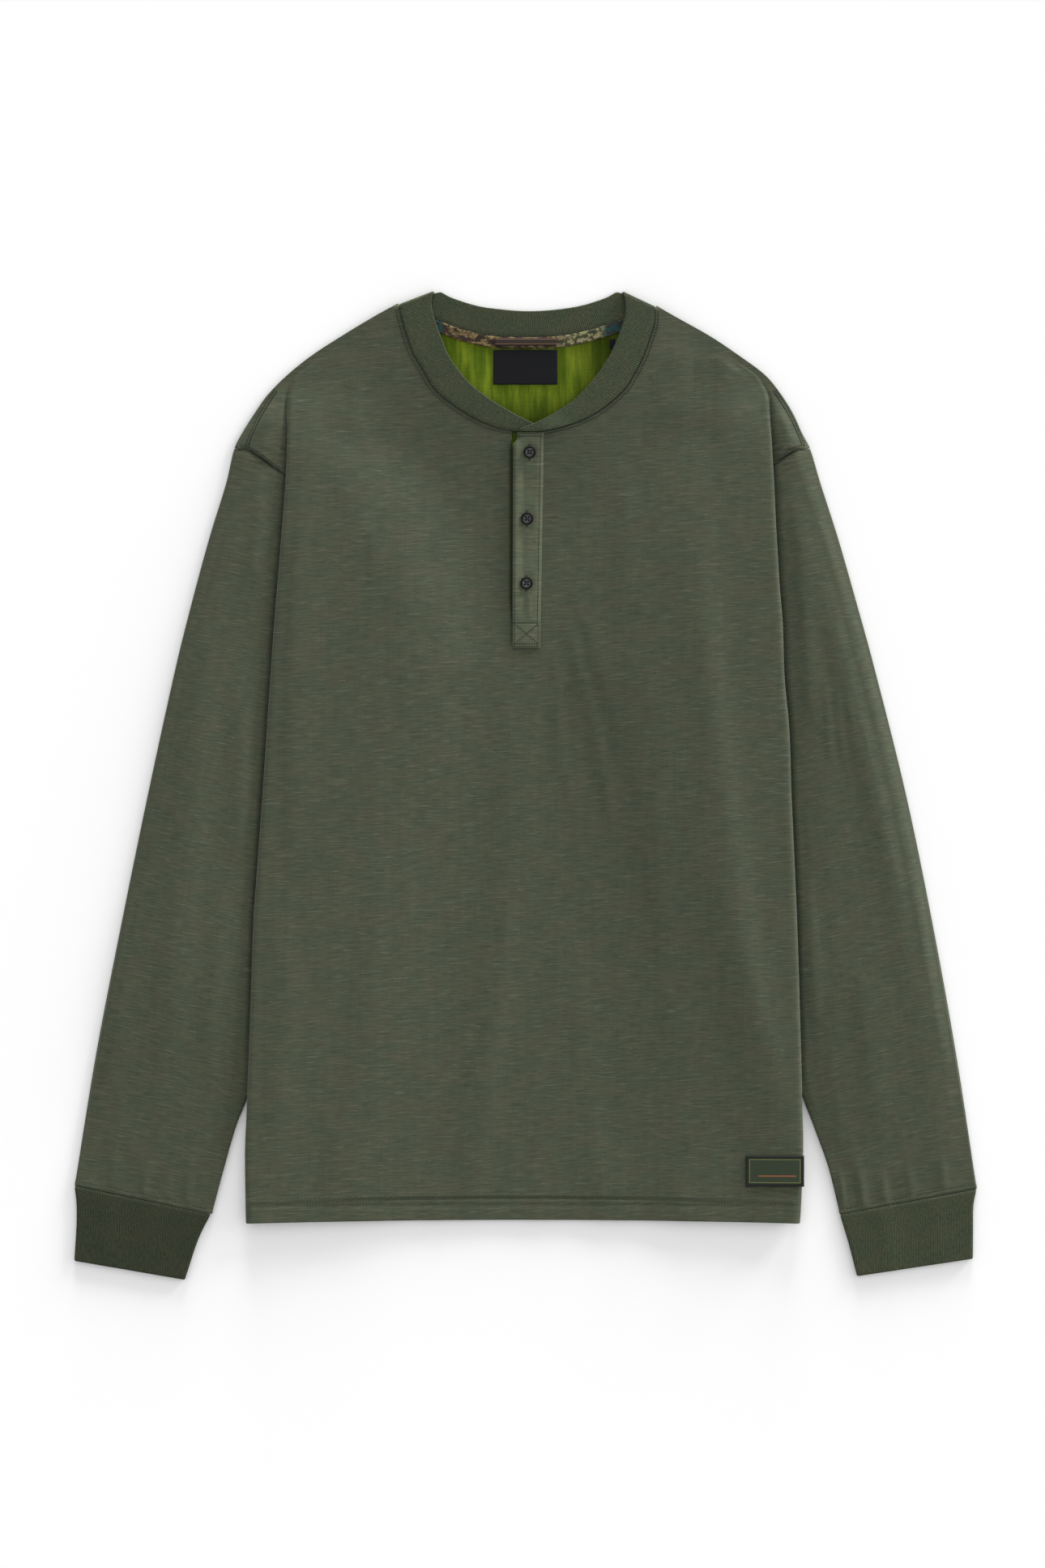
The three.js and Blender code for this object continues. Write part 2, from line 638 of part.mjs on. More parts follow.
function cuff(side) {
  const stations = CUFF[side].map((row) => {
    const places = [];
    for (let k = 0; k <= CUFF_ACROSS; k += 1) {
      const share = k / CUFF_ACROSS;
      places.push({ x: signOf(side) * mix(row.outU, row.inU, share), y: mix(row.outY, row.inY, share) });
    }
    return places;
  });
  return tubeWall(flatTube(stations, CUFF_WALL, LAYER_GAP), CUFF_WALL);
}

// Pairs of a seam place and a free-edge place, evenly spread along a collar table.
function collarPairs(rows, count) {
  const marks = rows.map((row, mark) => ({ ...row, mark }));
  const pairs = [];
  for (let k = 0; k < count; k += 1) {
    const mark = (k / (count - 1)) * (rows.length - 1);
    const value = (column) => track(marks, "mark", column, mark);
    pairs.push({
      seam: new THREE.Vector2(value("seamX"), value("seamY")),
      free: new THREE.Vector2(value("freeX"), value("freeY")),
    });
  }
  return pairs;
}

const collarFrontZ = (place) => PAIR_Z + PAIR_HALF + neckHump(place.x, place.y);
const COLLAR_ACROSS = 2;

// One row of collar points from the seam to the free edge.
function collarRow(pair, z) {
  const row = [];
  const inward = pair.free.clone().sub(pair.seam).normalize().multiplyScalar(SEAM_GAP);
  const start = pair.seam.clone().add(inward);
  for (let k = 0; k <= COLLAR_ACROSS; k += 1) {
    const place = start.clone().lerp(pair.free, k / COLLAR_ACROSS);
    row.push(new THREE.Vector3(place.x, place.y, z));
  }
  return row;
}

// The band turns round the neck point from the front, above, to the back, below.
function collarTurn(pair, topZ, bottomZ, side) {
  const along = pair.free.clone().sub(pair.seam).normalize();
  const out = new THREE.Vector2(-along.y, along.x).multiplyScalar(side === "left" ? 1 : -1);
  const radius = (topZ - bottomZ) / 2;
  const rows = [];
  for (let k = 1; k < TURN_STEPS; k += 1) {
    const angle = (Math.PI * k) / TURN_STEPS;
    const moved = {
      seam: pair.seam.clone().addScaledVector(out, radius * Math.sin(angle)),
      free: pair.free.clone().addScaledVector(out, radius * Math.sin(angle)),
    };
    rows.push(collarRow(moved, bottomZ + radius * (1 + Math.cos(angle))));
  }
  return rows;
}

function collar() {
  const backZ = RIB / 2;
  const frontLeft = collarPairs(COLLAR_FRONT_LEFT, COLLAR_FRONT_STATIONS);
  const frontRight = collarPairs(COLLAR_FRONT_RIGHT, COLLAR_FRONT_STATIONS);
  const backPairs = collarPairs(COLLAR_BACK, COLLAR_BACK_STATIONS);
  const leftTopZ = collarFrontZ(frontLeft.at(-1).seam);
  const rightTopZ = collarFrontZ(frontRight[0].seam);
  const overlap = (x) => (RIB + REST_GAP) * smooth((END_OVERLAP_X + END_RAMP - x) / END_RAMP);
  const points = [
    ...frontLeft.map((pair) => collarRow(pair, collarFrontZ(pair.seam))),
    ...collarTurn(frontLeft.at(-1), leftTopZ, backZ, "left"),
    ...backPairs.map((pair) => collarRow(pair, backZ)),
    ...collarTurn(frontRight[0], rightTopZ, backZ, "right").reverse(),
    ...frontRight.map((pair) => collarRow(pair, collarFrontZ(pair.seam) + overlap(pair.seam.x))),
  ];
  return sheet(points, RIB);
}

// A sheet that lies on the front near the middle, between two edges given as functions of y.
function onFront(rows, leftOf, rightOf, columns, lift) {
  return rows.map((y) => {
    const row = [];
    for (let k = 0; k <= columns; k += 1) {
      const x = mix(leftOf(y), rightOf(y), k / columns);
      row.push(new THREE.Vector3(x, y, frontHeight("left", Math.abs(x), y) + lift));
    }
    return row;
  });
}

const placketRows = (bottom, top) => [bottom, ...FRONT_ROWS.filter((y) => y > bottom + 1 && y < top - 1), top];

function placketFlap() {
  const rows = placketRows(PLACKET_BOTTOM_Y, PLACKET_TOP_Y);
  const left = (y) => straightTrack(PLACKET_EDGES, "y", "left", y);
  const right = (y) => straightTrack(PLACKET_EDGES, "y", "right", y);
  const lift = (CLOTH + PLACKET_THICK) / 2 + REST_GAP;
  return sheet(onFront(rows, left, right, FLAP_COLUMNS, lift), PLACKET_THICK);
}

function placketUnderlay() {
  const rows = placketRows(SLIT_END_Y + SEAM_GAP, PLACKET_TOP_Y);
  const left = () => -SLIT.left + REST_GAP;
  const right = () => SLIT.right - REST_GAP;
  return sheet(onFront(rows, left, right, UNDERLAY_COLUMNS, 0), CLOTH);
}

// A closed mesh as a solid that can be cut.
function solidOf(geometry) {
  const bare = geometry.clone();
  bare.deleteAttribute("normal");
  bare.deleteAttribute("uv");
  const merged = mergeVertices(bare, 1e-4);
  const vertProperties = new Float32Array(merged.attributes.position.array);
  const triVerts = new Uint32Array(merged.index.array);
  return new wasm.Manifold(new wasm.Mesh({ numProp: 3, vertProperties, triVerts }));
}

function geometryOf(solid) {
  const { vertProperties, triVerts } = solid.getMesh();
  const geometry = new THREE.BufferGeometry();
  geometry.setAttribute("position", new THREE.BufferAttribute(new Float32Array(vertProperties), 3));
  geometry.setIndex(new THREE.BufferAttribute(new Uint32Array(triVerts), 1));
  return geometry;
}

// A round button with a raised rim and four holes.
function buttonGeometry() {
  const profile = BUTTON_PROFILE.map(({ radius, height }) => new THREE.Vector2(radius, height));
  let solid = solidOf(new THREE.LatheGeometry(profile, BUTTON_SIDES).rotateX(Math.PI / 2));
  const { radius, offset, length, sides } = BUTTON_HOLE;
  for (const signX of [-1, 1]) {
    for (const signY of [-1, 1]) {
      const hole = new THREE.CylinderGeometry(radius, radius, length, sides);
      hole.rotateX(Math.PI / 2);
      hole.translate(signX * offset, signY * offset, 0);
      solid = solid.subtract(solidOf(hole));
    }
  }
  return geometryOf(solid);
}

// The back neck seam's level at a place across, on which the tape lies.
const backSeamY = (x) => track(COLLAR_BACK, "seamX", "seamY", x);

function neckTape() {
  const z = CLOTH + REST_GAP + TRIM / 2;
  const rows = [0, 1].map((edge) => {
    const row = [];
    for (let k = 0; k <= TAPE.steps; k += 1) {
      const x = mix(TAPE.left, TAPE.right, k / TAPE.steps);
      row.push(new THREE.Vector3(x, backSeamY(x) - SEAM_GAP - TAPE.deep * (1 - edge), z));
    }
    return row;
  });
  return sheet(rows, TRIM);
}

// A small flat rectangle of woven label.
function labelGeometry(area, bottomZ) {
  const geometry = new THREE.BoxGeometry(area.right - area.left, area.top - area.bottom, TRIM);
  return geometry.translate((area.left + area.right) / 2, (area.bottom + area.top) / 2, bottomZ + TRIM / 2);
}

// The height of the front's middle surface on its own facets, in its top pass.
function facetHeight(side, u, y) {
  const top = bodySection(side, y, SLIT[side]).slice(EXTRA_COLUMNS + COLUMNS.middle + COLUMNS.arc);
  return straightTrack(top, "u", "z", u) + PAIR_HALF;
}

function hemPatch() {
  const lift = CLOTH / 2 + TRIM / 2 + LAYER_GAP;
  const points = [HEM_PATCH.bottom, HEM_PATCH.top].map((y) => {
    const row = [];
    for (let k = 0; k <= HEM_PATCH.steps; k += 1) {
      const u = mix(HEM_PATCH.inner, HEM_PATCH.outer, k / HEM_PATCH.steps);
      row.push(new THREE.Vector3(u, y, facetHeight("right", u, y) + lift));
    }
    return row;
  });
  return sheet(points, TRIM);
}

// Colours of the cloth and trims
const cloth = (color, roughness = 0.95) => new THREE.MeshStandardMaterial({ color, roughness, metalness: 0 });
const MATERIALS = {
  jersey: cloth(0x4a5340),
  rib: cloth(0x47503f),
  inside: cloth(0x5f8a1f),
  tape: cloth(0x6b5b41),
  label: cloth(0x191b20, 0.8),
  patch: cloth(0x2c3a24, 0.85),
  button: cloth(0x55585a, 0.45),
};

const shirt = new THREE.Group();
function add(name, geometry, material) {
  const mesh = new THREE.Mesh(geometry, material);
  mesh.name = name;
  shirt.add(mesh);
  return mesh;
}

add("front", front(), MATERIALS.jersey);
add("back", back(), MATERIALS.jersey);
for (const side of SIDES) {
  add("sleeve_" + side, sleeve(side), MATERIALS.jersey);
  add("cuff_" + side, cuff(side), MATERIALS.rib);
}
add("collar", collar(), MATERIALS.rib);
add("placket_flap", placketFlap(), MATERIALS.jersey);
add("placket_underlay", placketUnderlay(), MATERIALS.inside);
const buttonSeat = CLOTH / 2 + PLACKET_THICK + 2 * REST_GAP + BUTTON_CLEARANCE;
for (const { name, x, y } of BUTTONS) {
  const button = add(name, buttonGeometry(), MATERIALS.button);
  button.position.set(x, y, frontHeight("left", Math.abs(x), y) + buttonSeat);
}
const tapeTop = CLOTH + REST_GAP + TRIM;
add("neck_tape", neckTape(), MATERIALS.tape);
add("strip_label", labelGeometry(STRIP_LABEL, tapeTop + REST_GAP), MATERIALS.label);
add("neck_label", labelGeometry(NECK_LABEL, CLOTH + REST_GAP), MATERIALS.label);
add("size_tab", labelGeometry(SIZE_TAB, CLOTH + REST_GAP), MATERIALS.label);
add("hem_patch", hemPatch(), MATERIALS.patch);

// The shirt's footprint is centred on the origin, with its underside on z = 0.
const bounds = new THREE.Box3().setFromObject(shirt);
const middle = bounds.getCenter(new THREE.Vector3());
shirt.position.set(-middle.x, -middle.y, -bounds.min.z);
export default shirt;
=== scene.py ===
# The looks of a long-sleeved henley shirt that lies flat on its back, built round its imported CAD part.
# Tables and lengths are in millimetres in the shirt's own drawing, and piece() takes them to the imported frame.
# A place is given by u, the distance outward from the middle line, on the left (-X) or right (+X) side.
import math

import bpy
import numpy as np
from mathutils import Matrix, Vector


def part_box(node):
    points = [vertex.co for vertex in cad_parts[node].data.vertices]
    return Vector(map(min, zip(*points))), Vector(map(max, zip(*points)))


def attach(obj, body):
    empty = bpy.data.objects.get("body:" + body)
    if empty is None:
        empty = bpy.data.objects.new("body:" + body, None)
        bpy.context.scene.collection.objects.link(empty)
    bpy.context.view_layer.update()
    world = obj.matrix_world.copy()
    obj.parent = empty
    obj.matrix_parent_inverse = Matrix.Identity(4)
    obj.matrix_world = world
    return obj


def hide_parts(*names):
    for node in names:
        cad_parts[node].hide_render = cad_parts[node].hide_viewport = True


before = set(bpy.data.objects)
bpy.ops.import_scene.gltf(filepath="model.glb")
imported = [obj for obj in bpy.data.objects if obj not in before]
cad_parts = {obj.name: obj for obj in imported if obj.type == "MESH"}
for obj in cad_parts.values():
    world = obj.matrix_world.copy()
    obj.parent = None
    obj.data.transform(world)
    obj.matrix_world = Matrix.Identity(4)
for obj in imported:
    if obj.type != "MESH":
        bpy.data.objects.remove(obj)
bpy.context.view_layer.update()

# The drawing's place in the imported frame, found from one rectangular label
NECK_LABEL = {"left": -24.9, "right": 24.9, "bottom": 311, "top": 338}
label_low, label_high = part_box("neck_label")
SHIFT = np.array([
    label_low.x * 1000 - NECK_LABEL["left"],
    label_low.y * 1000 - NECK_LABEL["bottom"],
    0,
])

# Cloth thicknesses and the spaces kept between layers
CLOTH = 1.2
RIB = 2.4
CUFF_WALL = 1.6
TRIM = 0.8
LAYER_GAP = 0.4
SEAM_GAP = 0.22
REST_GAP = 0.3
NEAR = LAYER_GAP / 2
FAR = NEAR + CLOTH
PAIR_Z = FAR
PAIR_HALF = NEAR + CLOTH / 2

# The Z fold at each side of the body: three passes of front and back cloth over each other
PASS_RISE = 4
FOLD_START_Y = 336
ARMPIT_Y = 87.3
LIFT_RAMP = 80
STRIP_RAMP = 95
RAMP_CLEAR = 6
BEND_ROOM = 0.7
LEAST_TURN = 0.02
LEAST_DEPTH = 0.5
WIDEST_ARC = 6.5

# Levels of the body, from the hem to the shoulder
HEM_Y = -340.5
HEM_SEAM_Y = -324.5
SLIT_END_Y = 107.4
NECK_FRONT_Y = 274.1
SHOULDER_Y = 261.6
NECK_BACK_Y = 347.6
TIP_Y = 369.2
HEM_RISE = 2.5
HEM_RISE_REACH = 50
SLIT = {"left": 10.4, "right": 9.7}
SLIT_GAPE = 1.3

# The outline from the neck point down the shoulder and the sleeve's outer side
OUTER_EDGE = [
    {"y": 374, "left": 98.8, "right": 98.8},
    {"y": 371.4, "left": 103.6, "right": 103},
    {"y": 363.8, "left": 117.5, "right": 116.2},
    {"y": 348.7, "left": 142.7, "right": 143.3},
    {"y": 333.6, "left": 166, "right": 166},
    {"y": 318.5, "left": 184.9, "right": 186.2},
    {"y": 303.3, "left": 200, "right": 198.8},
    {"y": 288.2, "left": 210.7, "right": 208.2},
    {"y": 273.1, "left": 220.2, "right": 215.1},
    {"y": 261.8, "left": 225.9, "right": 221},
    {"y": 235.3, "left": 232.2, "right": 229},
    {"y": 194.4, "left": 244.8, "right": 242.2},
    {"y": 144, "left": 258.6, "right": 256.7},
    {"y": 93.6, "left": 271.2, "right": 270.6},
    {"y": -7.2, "left": 293.3, "right": 295.8},
    {"y": -108, "left": 314, "right": 316.6},
    {"y": -208.8, "left": 333.6, "right": 334.8},
    {"y": -313.4, "left": 350.6, "right": 350.9},
]

# The body's fold edges, which stand above the sleeves
FOLD_EDGE = [
    {"y": -341, "left": 217, "right": 213.3},
    {"y": -324, "left": 217.3, "right": 214.3},
    {"y": -284, "left": 217.7, "right": 215.8},
    {"y": -253, "left": 216.4, "right": 215.2},
    {"y": -171, "left": 213.3, "right": 213},
    {"y": -108, "left": 211.2, "right": 211},
    {"y": -61, "left": 207.9, "right": 209},
    {"y": -7, "left": 204, "right": 206.6},
    {"y": 44.4, "left": 200.6, "right": 204.8},
    {"y": 82, "left": 198, "right": 201.3},
    {"y": 125, "left": 195, "right": 199.8},
    {"y": 154, "left": 192.6, "right": 197.5},
    {"y": 201, "left": 188.8, "right": 194.7},
    {"y": 235, "left": 186.3, "right": 193.1},
    {"y": 270, "left": 185, "right": 191.2},
    {"y": 288, "left": 185.2, "right": 189.9},
    {"y": 301, "left": 184.8, "right": 188.8},
    {"y": 309, "left": 182.5, "right": 185.5},
    {"y": 320, "left": 176, "right": 177.5},
    {"y": 374, "left": 92, "right": 92},
]

# How far the fold reaches back under the body, and how far round the cloth turns in it
FOLD_DEPTH = [
    {"y": -341, "width": 54},
    {"y": ARMPIT_Y, "width": 92},
    {"y": 124, "width": 84},
    {"y": 161, "width": 70},
    {"y": 217, "width": 42},
    {"y": 245, "width": 22},
    {"y": 276, "width": 0},
    {"y": 374, "width": 0},
]
FOLD_TURN = [
    {"y": -341, "degrees": 180},
    {"y": 264, "degrees": 180},
    {"y": 272, "degrees": 130},
    {"y": 282, "degrees": 92},
    {"y": 291, "degrees": 66},
    {"y": 300, "degrees": 42},
    {"y": 310, "degrees": 22},
    {"y": 320, "degrees": 11},
    {"y": 329, "degrees": 5},
    {"y": FOLD_START_Y, "degrees": 0},
    {"y": 374, "degrees": 0},
]
FOLD_HEIGHT = [
    {"y": -341, "height": 8},
    {"y": 175, "height": 8},
    {"y": 217, "height": 7.4},
    {"y": 245, "height": 6.8},
    {"y": 262, "height": 6.2},
    {"y": 275, "height": 5.3},
    {"y": 290, "height": 3.7},
    {"y": 301, "height": 2.0},
    {"y": 310, "height": 0.9},
    {"y": 320, "height": 0.42},
    {"y": 328, "height": 0.28},
    {"y": FOLD_START_Y, "height": 0.25},
    {"y": 374, "height": 0.2},
]
LEAST_RISE = 0.3

# The armhole seam, down which the body's lowest pass meets the sleeve
ARMHOLE = [
    {"y": 261.8, "u": 225.9},
    {"y": 260, "u": 214},
    {"y": 253.5, "u": 203.8},
    {"y": 247.9, "u": 196.9},
    {"y": 242, "u": 187.8},
    {"y": 217, "u": 170},
    {"y": 161, "u": 140.2},
    {"y": 124, "u": 127.5},
    {"y": ARMPIT_Y, "u": 118},
]

# The sleeve's underarm edge, hidden below the body as far as y = -242
UNDERARM_EDGE = [
    {"y": 86.6, "left": 107, "right": 107},
    {"y": -80, "left": 161, "right": 161},
    {"y": -242.2, "left": 215.8, "right": 215.4},
    {"y": -265.5, "left": 224.9, "right": 224.2},
    {"y": -297, "left": 234, "right": 235.5},
    {"y": -333, "left": 243.6, "right": 244.4},
]
SLEEVE_PUFF = 1.5
PUFF_REACH = 28
PUFF_CLEAR = 2
PUFF_ENDS = {"top": 8, "cuff": 12}
SEAM_BOW_FADE = 4
OUTER_CORNER = 150
CORNER_GAP = 0.04

# The cuffs, from the seam to the open end
CUFF = {
    "left": [
        {"outU": 350.4, "outY": -311.6, "inU": 244.6, "inY": -333.8},
        {"outU": 348.9, "outY": -325, "inU": 251, "inY": -346},
        {"outU": 348.9, "outY": -342, "inU": 256, "inY": -358},
        {"outU": 350.6, "outY": -369.8, "inU": 264.6, "inY": -384.6},
    ],
    "right": [
        {"outU": 350.7, "outY": -314.2, "inU": 244.6, "inY": -334},
        {"outU": 348.3, "outY": -327, "inU": 248.2, "inY": -346},
        {"outU": 348.1, "outY": -345, "inU": 252.3, "inY": -360},
        {"outU": 347.9, "outY": -368.2, "inU": 257.8, "inY": -381.8},
    ],
}

# The collar band from its left end round the back to its right end
COLLAR_FRONT_LEFT = [
    {"seamX": 8, "seamY": 273.9, "freeX": 10, "freeY": 279.6},
    {"seamX": -6, "seamY": 274.5, "freeX": 2.2, "freeY": 282.8},
    {"seamX": -25.5, "seamY": 278.5, "freeX": -13.5, "freeY": 291},
    {"seamX": -48.2, "seamY": 289.7, "freeX": -32.4, "freeY": 303},
    {"seamX": -69, "seamY": 305.9, "freeX": -46.5, "freeY": 315.5},
    {"seamX": -79.7, "seamY": 322.9, "freeX": -58.9, "freeY": 332.3},
    {"seamX": -87.3, "seamY": 335.5, "freeX": -64, "freeY": 344},
    {"seamX": -92.9, "seamY": 351.9, "freeX": -69.5, "freeY": 359},
    {"seamX": -96.7, "seamY": 365.4, "freeX": -72.8, "freeY": 371.5},
    {"seamX": -97.6, "seamY": 371.2, "freeX": -73, "freeY": 380.7},
]
COLLAR_BACK = [
    {"seamX": -97.6, "seamY": 371.2, "freeX": -71.4, "freeY": 381.3},
    {"seamX": -84, "seamY": 366.9, "freeX": -65, "freeY": 381.6},
    {"seamX": -68.4, "seamY": 361, "freeX": -53.9, "freeY": 377.3},
    {"seamX": -48, "seamY": 353.8, "freeX": -36.2, "freeY": 372},
    {"seamX": -24.9, "seamY": 348.9, "freeX": -18, "freeY": 369.5},
    {"seamX": 0, "seamY": 348.1, "freeX": 0, "freeY": 368.2},
    {"seamX": 24.9, "seamY": 348.9, "freeX": 20.5, "freeY": 369},
    {"seamX": 48.2, "seamY": 353.2, "freeX": 42.5, "freeY": 372.2},
    {"seamX": 73.4, "seamY": 361, "freeX": 59.5, "freeY": 377.3},
    {"seamX": 89, "seamY": 366.4, "freeX": 70, "freeY": 381.4},
    {"seamX": 100.6, "seamY": 369.4, "freeX": 76, "freeY": 381.2},
]
COLLAR_FRONT_RIGHT = [
    {"seamX": 100.6, "seamY": 369.4, "freeX": 77.4, "freeY": 380.4},
    {"seamX": 99.9, "seamY": 357.5, "freeX": 77.6, "freeY": 366},
    {"seamX": 96, "seamY": 345, "freeX": 74.2, "freeY": 354},
    {"seamX": 91.7, "seamY": 333, "freeX": 68.7, "freeY": 340.1},
    {"seamX": 84.5, "seamY": 319, "freeX": 63, "freeY": 329.5},
    {"seamX": 75.9, "seamY": 305.9, "freeX": 52.5, "freeY": 314.5},
    {"seamX": 56.4, "seamY": 289.7, "freeX": 39, "freeY": 300},
    {"seamX": 35.6, "seamY": 280, "freeX": 24, "freeY": 289.6},
    {"seamX": 12.9, "seamY": 274.6, "freeX": 9, "freeY": 281.6},
    {"seamX": -4.6, "seamY": 274.4, "freeX": -3.6, "freeY": 276.8},
]
END_OVERLAP_X = 14
END_RAMP = 26

# The neck opening holds the front up a little off the back
NECK_HUMP = {"height": 7, "reachX": 170, "reachY": 150, "middleY": 350}
FACES_UP = 0.5

# The shoulders' tips beside the collar, with the line of the collar's turn beyond its seam
TIP_TOP = {"left": 373.6, "right": 371.8}
TIP_START_Y = 355
TURN_FOOT = {"left": {"u": 97.6, "y": 371.2}, "right": {"u": 100.6, "y": 369.4}}
TURN_LEAN = 0.34
TURN_AT_SEAM = 0.55
TURN_FREE_WAY = {"left": (0.12, 0.62), "right": (-0.12, 0.62)}
CORNER = {"height": 2.6, "reach": 6.5}

# Soft creases. A path runs from the top to the foot, and the height fades at both of its ends.
# The two widths say how far the crease falls away on its left and on its right.
FRONT_CREASES = [
    {"path": [(-5, 160), (-7.2, 100), (-8.5, -39), (-21, -140), (-31, -234), (-40, -291), (-46, -400)],
     "height": 1.5, "widths": (19, 10)},
    {"path": [(126, 285), (130, 245), (133, 188), (141, 94), (152, 5), (162, -83), (177, -171), (190, -221),
              (198, -300)], "height": 1.9, "widths": (24, 13)},
    {"path": [(22, 165), (26, 144), (45, 81), (64, -7), (72, -70)], "height": 0.6, "widths": (6, 5)},
    {"path": [(25, 118), (25, 100), (27, 31), (41, -30)], "height": 0.4, "widths": (5, 4)},
    {"path": [(34, 170), (52, 110), (75, 30)], "height": 0.45, "widths": (5, 7)},
    {"path": [(-90, -10), (-98, -60), (-112, -110), (-120, -160), (-124, -215), (-142, -275), (-150, -400)],
     "height": 1.1, "widths": (15, 34)},
    {"path": [(-176, 290), (-177, 200), (-179, 60), (-180, -90)], "height": 1.1, "widths": (9, 15)},
    {"path": [(-92, 262), (-94, 200), (-86, 105)], "height": 0.7, "widths": (14, 26)},
    {"path": [(122, 352), (119, 310), (116, 268)], "height": 0.8, "widths": (17, 9)},
    {"path": [(158, 345), (156, 300), (154, 246)], "height": 1.0, "widths": (9, 15)},
    {"path": [(-140, 338), (-136, 300), (-128, 255)], "height": 0.6, "widths": (13, 11)},
    {"path": [(-60, 240), (-62, 150), (-70, 20), (-84, -70)], "height": 0.6, "widths": (17, 14)},
    {"path": [(92, 70), (101, -60), (113, -170), (124, -280)], "height": 0.7, "widths": (12, 16)},
    {"path": [(38, -90), (46, -180), (56, -300), (60, -400)], "height": 0.6, "widths": (13, 10)},
    {"path": [(-186, -70), (-190, -190), (-193, -330)], "height": 0.8, "widths": (10, 12)},
    {"path": [(70, 262), (78, 190), (84, 120)], "height": 0.5, "widths": (14, 12)},
    {"path": [(72, -272), (70, -340), (70, -420)], "height": 1.0, "widths": (16, 11)},
    {"path": [(-72, -285), (-69, -340), (-68, -420)], "height": 0.8, "widths": (12, 10)},
    {"path": [(122, -290), (121, -340), (121, -420)], "height": 0.7, "widths": (12, 14)},
    {"path": [(-172, -292), (-171, -340), (-171, -420)], "height": 0.6, "widths": (14, 10)},
    {"path": [(10, -296), (12, -340), (12, -420)], "height": 0.5, "widths": (11, 13)},
]
CAP_CREASES = [
    {"path": [(-199, 300), (-203, 265), (-205, 232)], "height": 1.1, "widths": (6, 6)},
    {"path": [(199, 300), (203, 268), (207, 232)], "height": 1.0, "widths": (5, 6)},
    {"path": [(193, 290), (197, 266), (199, 236)], "height": 0.5, "widths": (2.5, 2.5)},
]
SLEEVE_CREASES = [
    {"path": [(-205, 262), (-207, 200), (-213, 140)], "height": 0.9, "widths": (6, 6)},
    {"path": [(-217, 100), (-220, 10), (-224, -75)], "height": 1.1, "widths": (9, 6)},
    {"path": [(-240, 180), (-247, 110), (-262, -30), (-273, -150), (-284, -250), (-290, -300)],
     "height": 1.7, "widths": (15, 16)},
    {"path": [(-230, -60), (-240, -140), (-250, -240)], "height": 0.8, "widths": (9, 7)},
    {"path": [(-300, -60), (-314, -160), (-326, -262)], "height": 0.6, "widths": (7, 9)},
    {"path": [(-258, -296), (-261, -316), (-266, -372)], "height": 0.8, "widths": (4, 3)},
    {"path": [(-275, -290), (-277, -312), (-279, -366)], "height": 0.5, "widths": (4, 4)},
    {"path": [(-294, -284), (-296, -306), (-299, -362)], "height": 0.6, "widths": (4, 5)},
    {"path": [(-318, -276), (-321, -300), (-324, -352)], "height": 0.6, "widths": (4, 6)},
    {"path": [(206, 252), (213, 180), (221, 70), (224, 20)], "height": 1.0, "widths": (5, 8)},
    {"path": [(222, 252), (244, 188), (260, 125), (276, 62), (291, 5), (306, -70), (317, -165)],
     "height": 1.0, "widths": (7, 12)},
    {"path": [(222, 200), (240, 125), (256, 62), (270, 5), (286, -70), (300, -165)],
     "height": 1.1, "widths": (13, 7)},
    {"path": [(232, 86), (235, 50), (238, 12)], "height": 0.4, "widths": (3, 3)},
    {"path": [(241, 82), (244, 48), (248, 14)], "height": 0.4, "widths": (3, 3)},
    {"path": [(250, 76), (253, 46), (257, 18)], "height": 0.3, "widths": (3, 3)},
    {"path": [(219, -70), (222, -130), (226, -200)], "height": 1.0, "widths": (5, 7)},
    {"path": [(258, -120), (266, -200), (274, -290)], "height": 0.8, "widths": (10, 14)},
    {"path": [(243, -292), (246, -318), (250, -376)], "height": 1.0, "widths": (4, 2.5)},
    {"path": [(258, -290), (262, -318), (266, -372)], "height": 1.0, "widths": (3.5, 4)},
    {"path": [(276, -292), (279, -314), (282, -368)], "height": 0.7, "widths": (4, 3.5)},
    {"path": [(296, -288), (299, -310), (302, -362)], "height": 0.6, "widths": (4, 5)},
    {"path": [(322, -280), (325, -302), (328, -354)], "height": 0.6, "widths": (5, 4)},
]
CUFF_CREASES = [
    {"path": [(-282, -300), (-290, -345), (-298, -400)], "height": 0.5, "widths": (9, 9)},
    {"path": [(-322, -300), (-326, -340), (-330, -390)], "height": 0.5, "widths": (8, 10)},
    {"path": [(272, -310), (280, -350), (286, -400)], "height": 0.6, "widths": (9, 8)},
    {"path": [(318, -300), (320, -340), (322, -390)], "height": 0.5, "widths": (10, 9)},
]
NECK_CREASES = [
    {"path": [(-58, 336), (-56, 316), (-52, 292)], "height": 0.9, "widths": (4, 5)},
    {"path": [(-43, 338), (-42, 318), (-38, 290)], "height": 0.6, "widths": (4, 6)},
    {"path": [(-32, 330), (-32, 308), (-30, 282)], "height": 1.25, "widths": (3.4, 3)},
    {"path": [(-18, 305), (-18, 292), (-16, 262)], "height": 0.6, "widths": (4, 5)},
    {"path": [(1, 306), (1, 292), (1, 258)], "height": 1.1, "widths": (4, 5)},
    {"path": [(34, 340), (33, 318), (27, 280)], "height": 1.3, "widths": (3.5, 13)},
    {"path": [(58, 338), (58, 320), (52, 292)], "height": 0.9, "widths": (5, 6)},
]
CREASE_FADE = 0.32
FRONT_CREASE_SHARE = 1.25
SLEEVE_CREASE_SHARE = 1.35

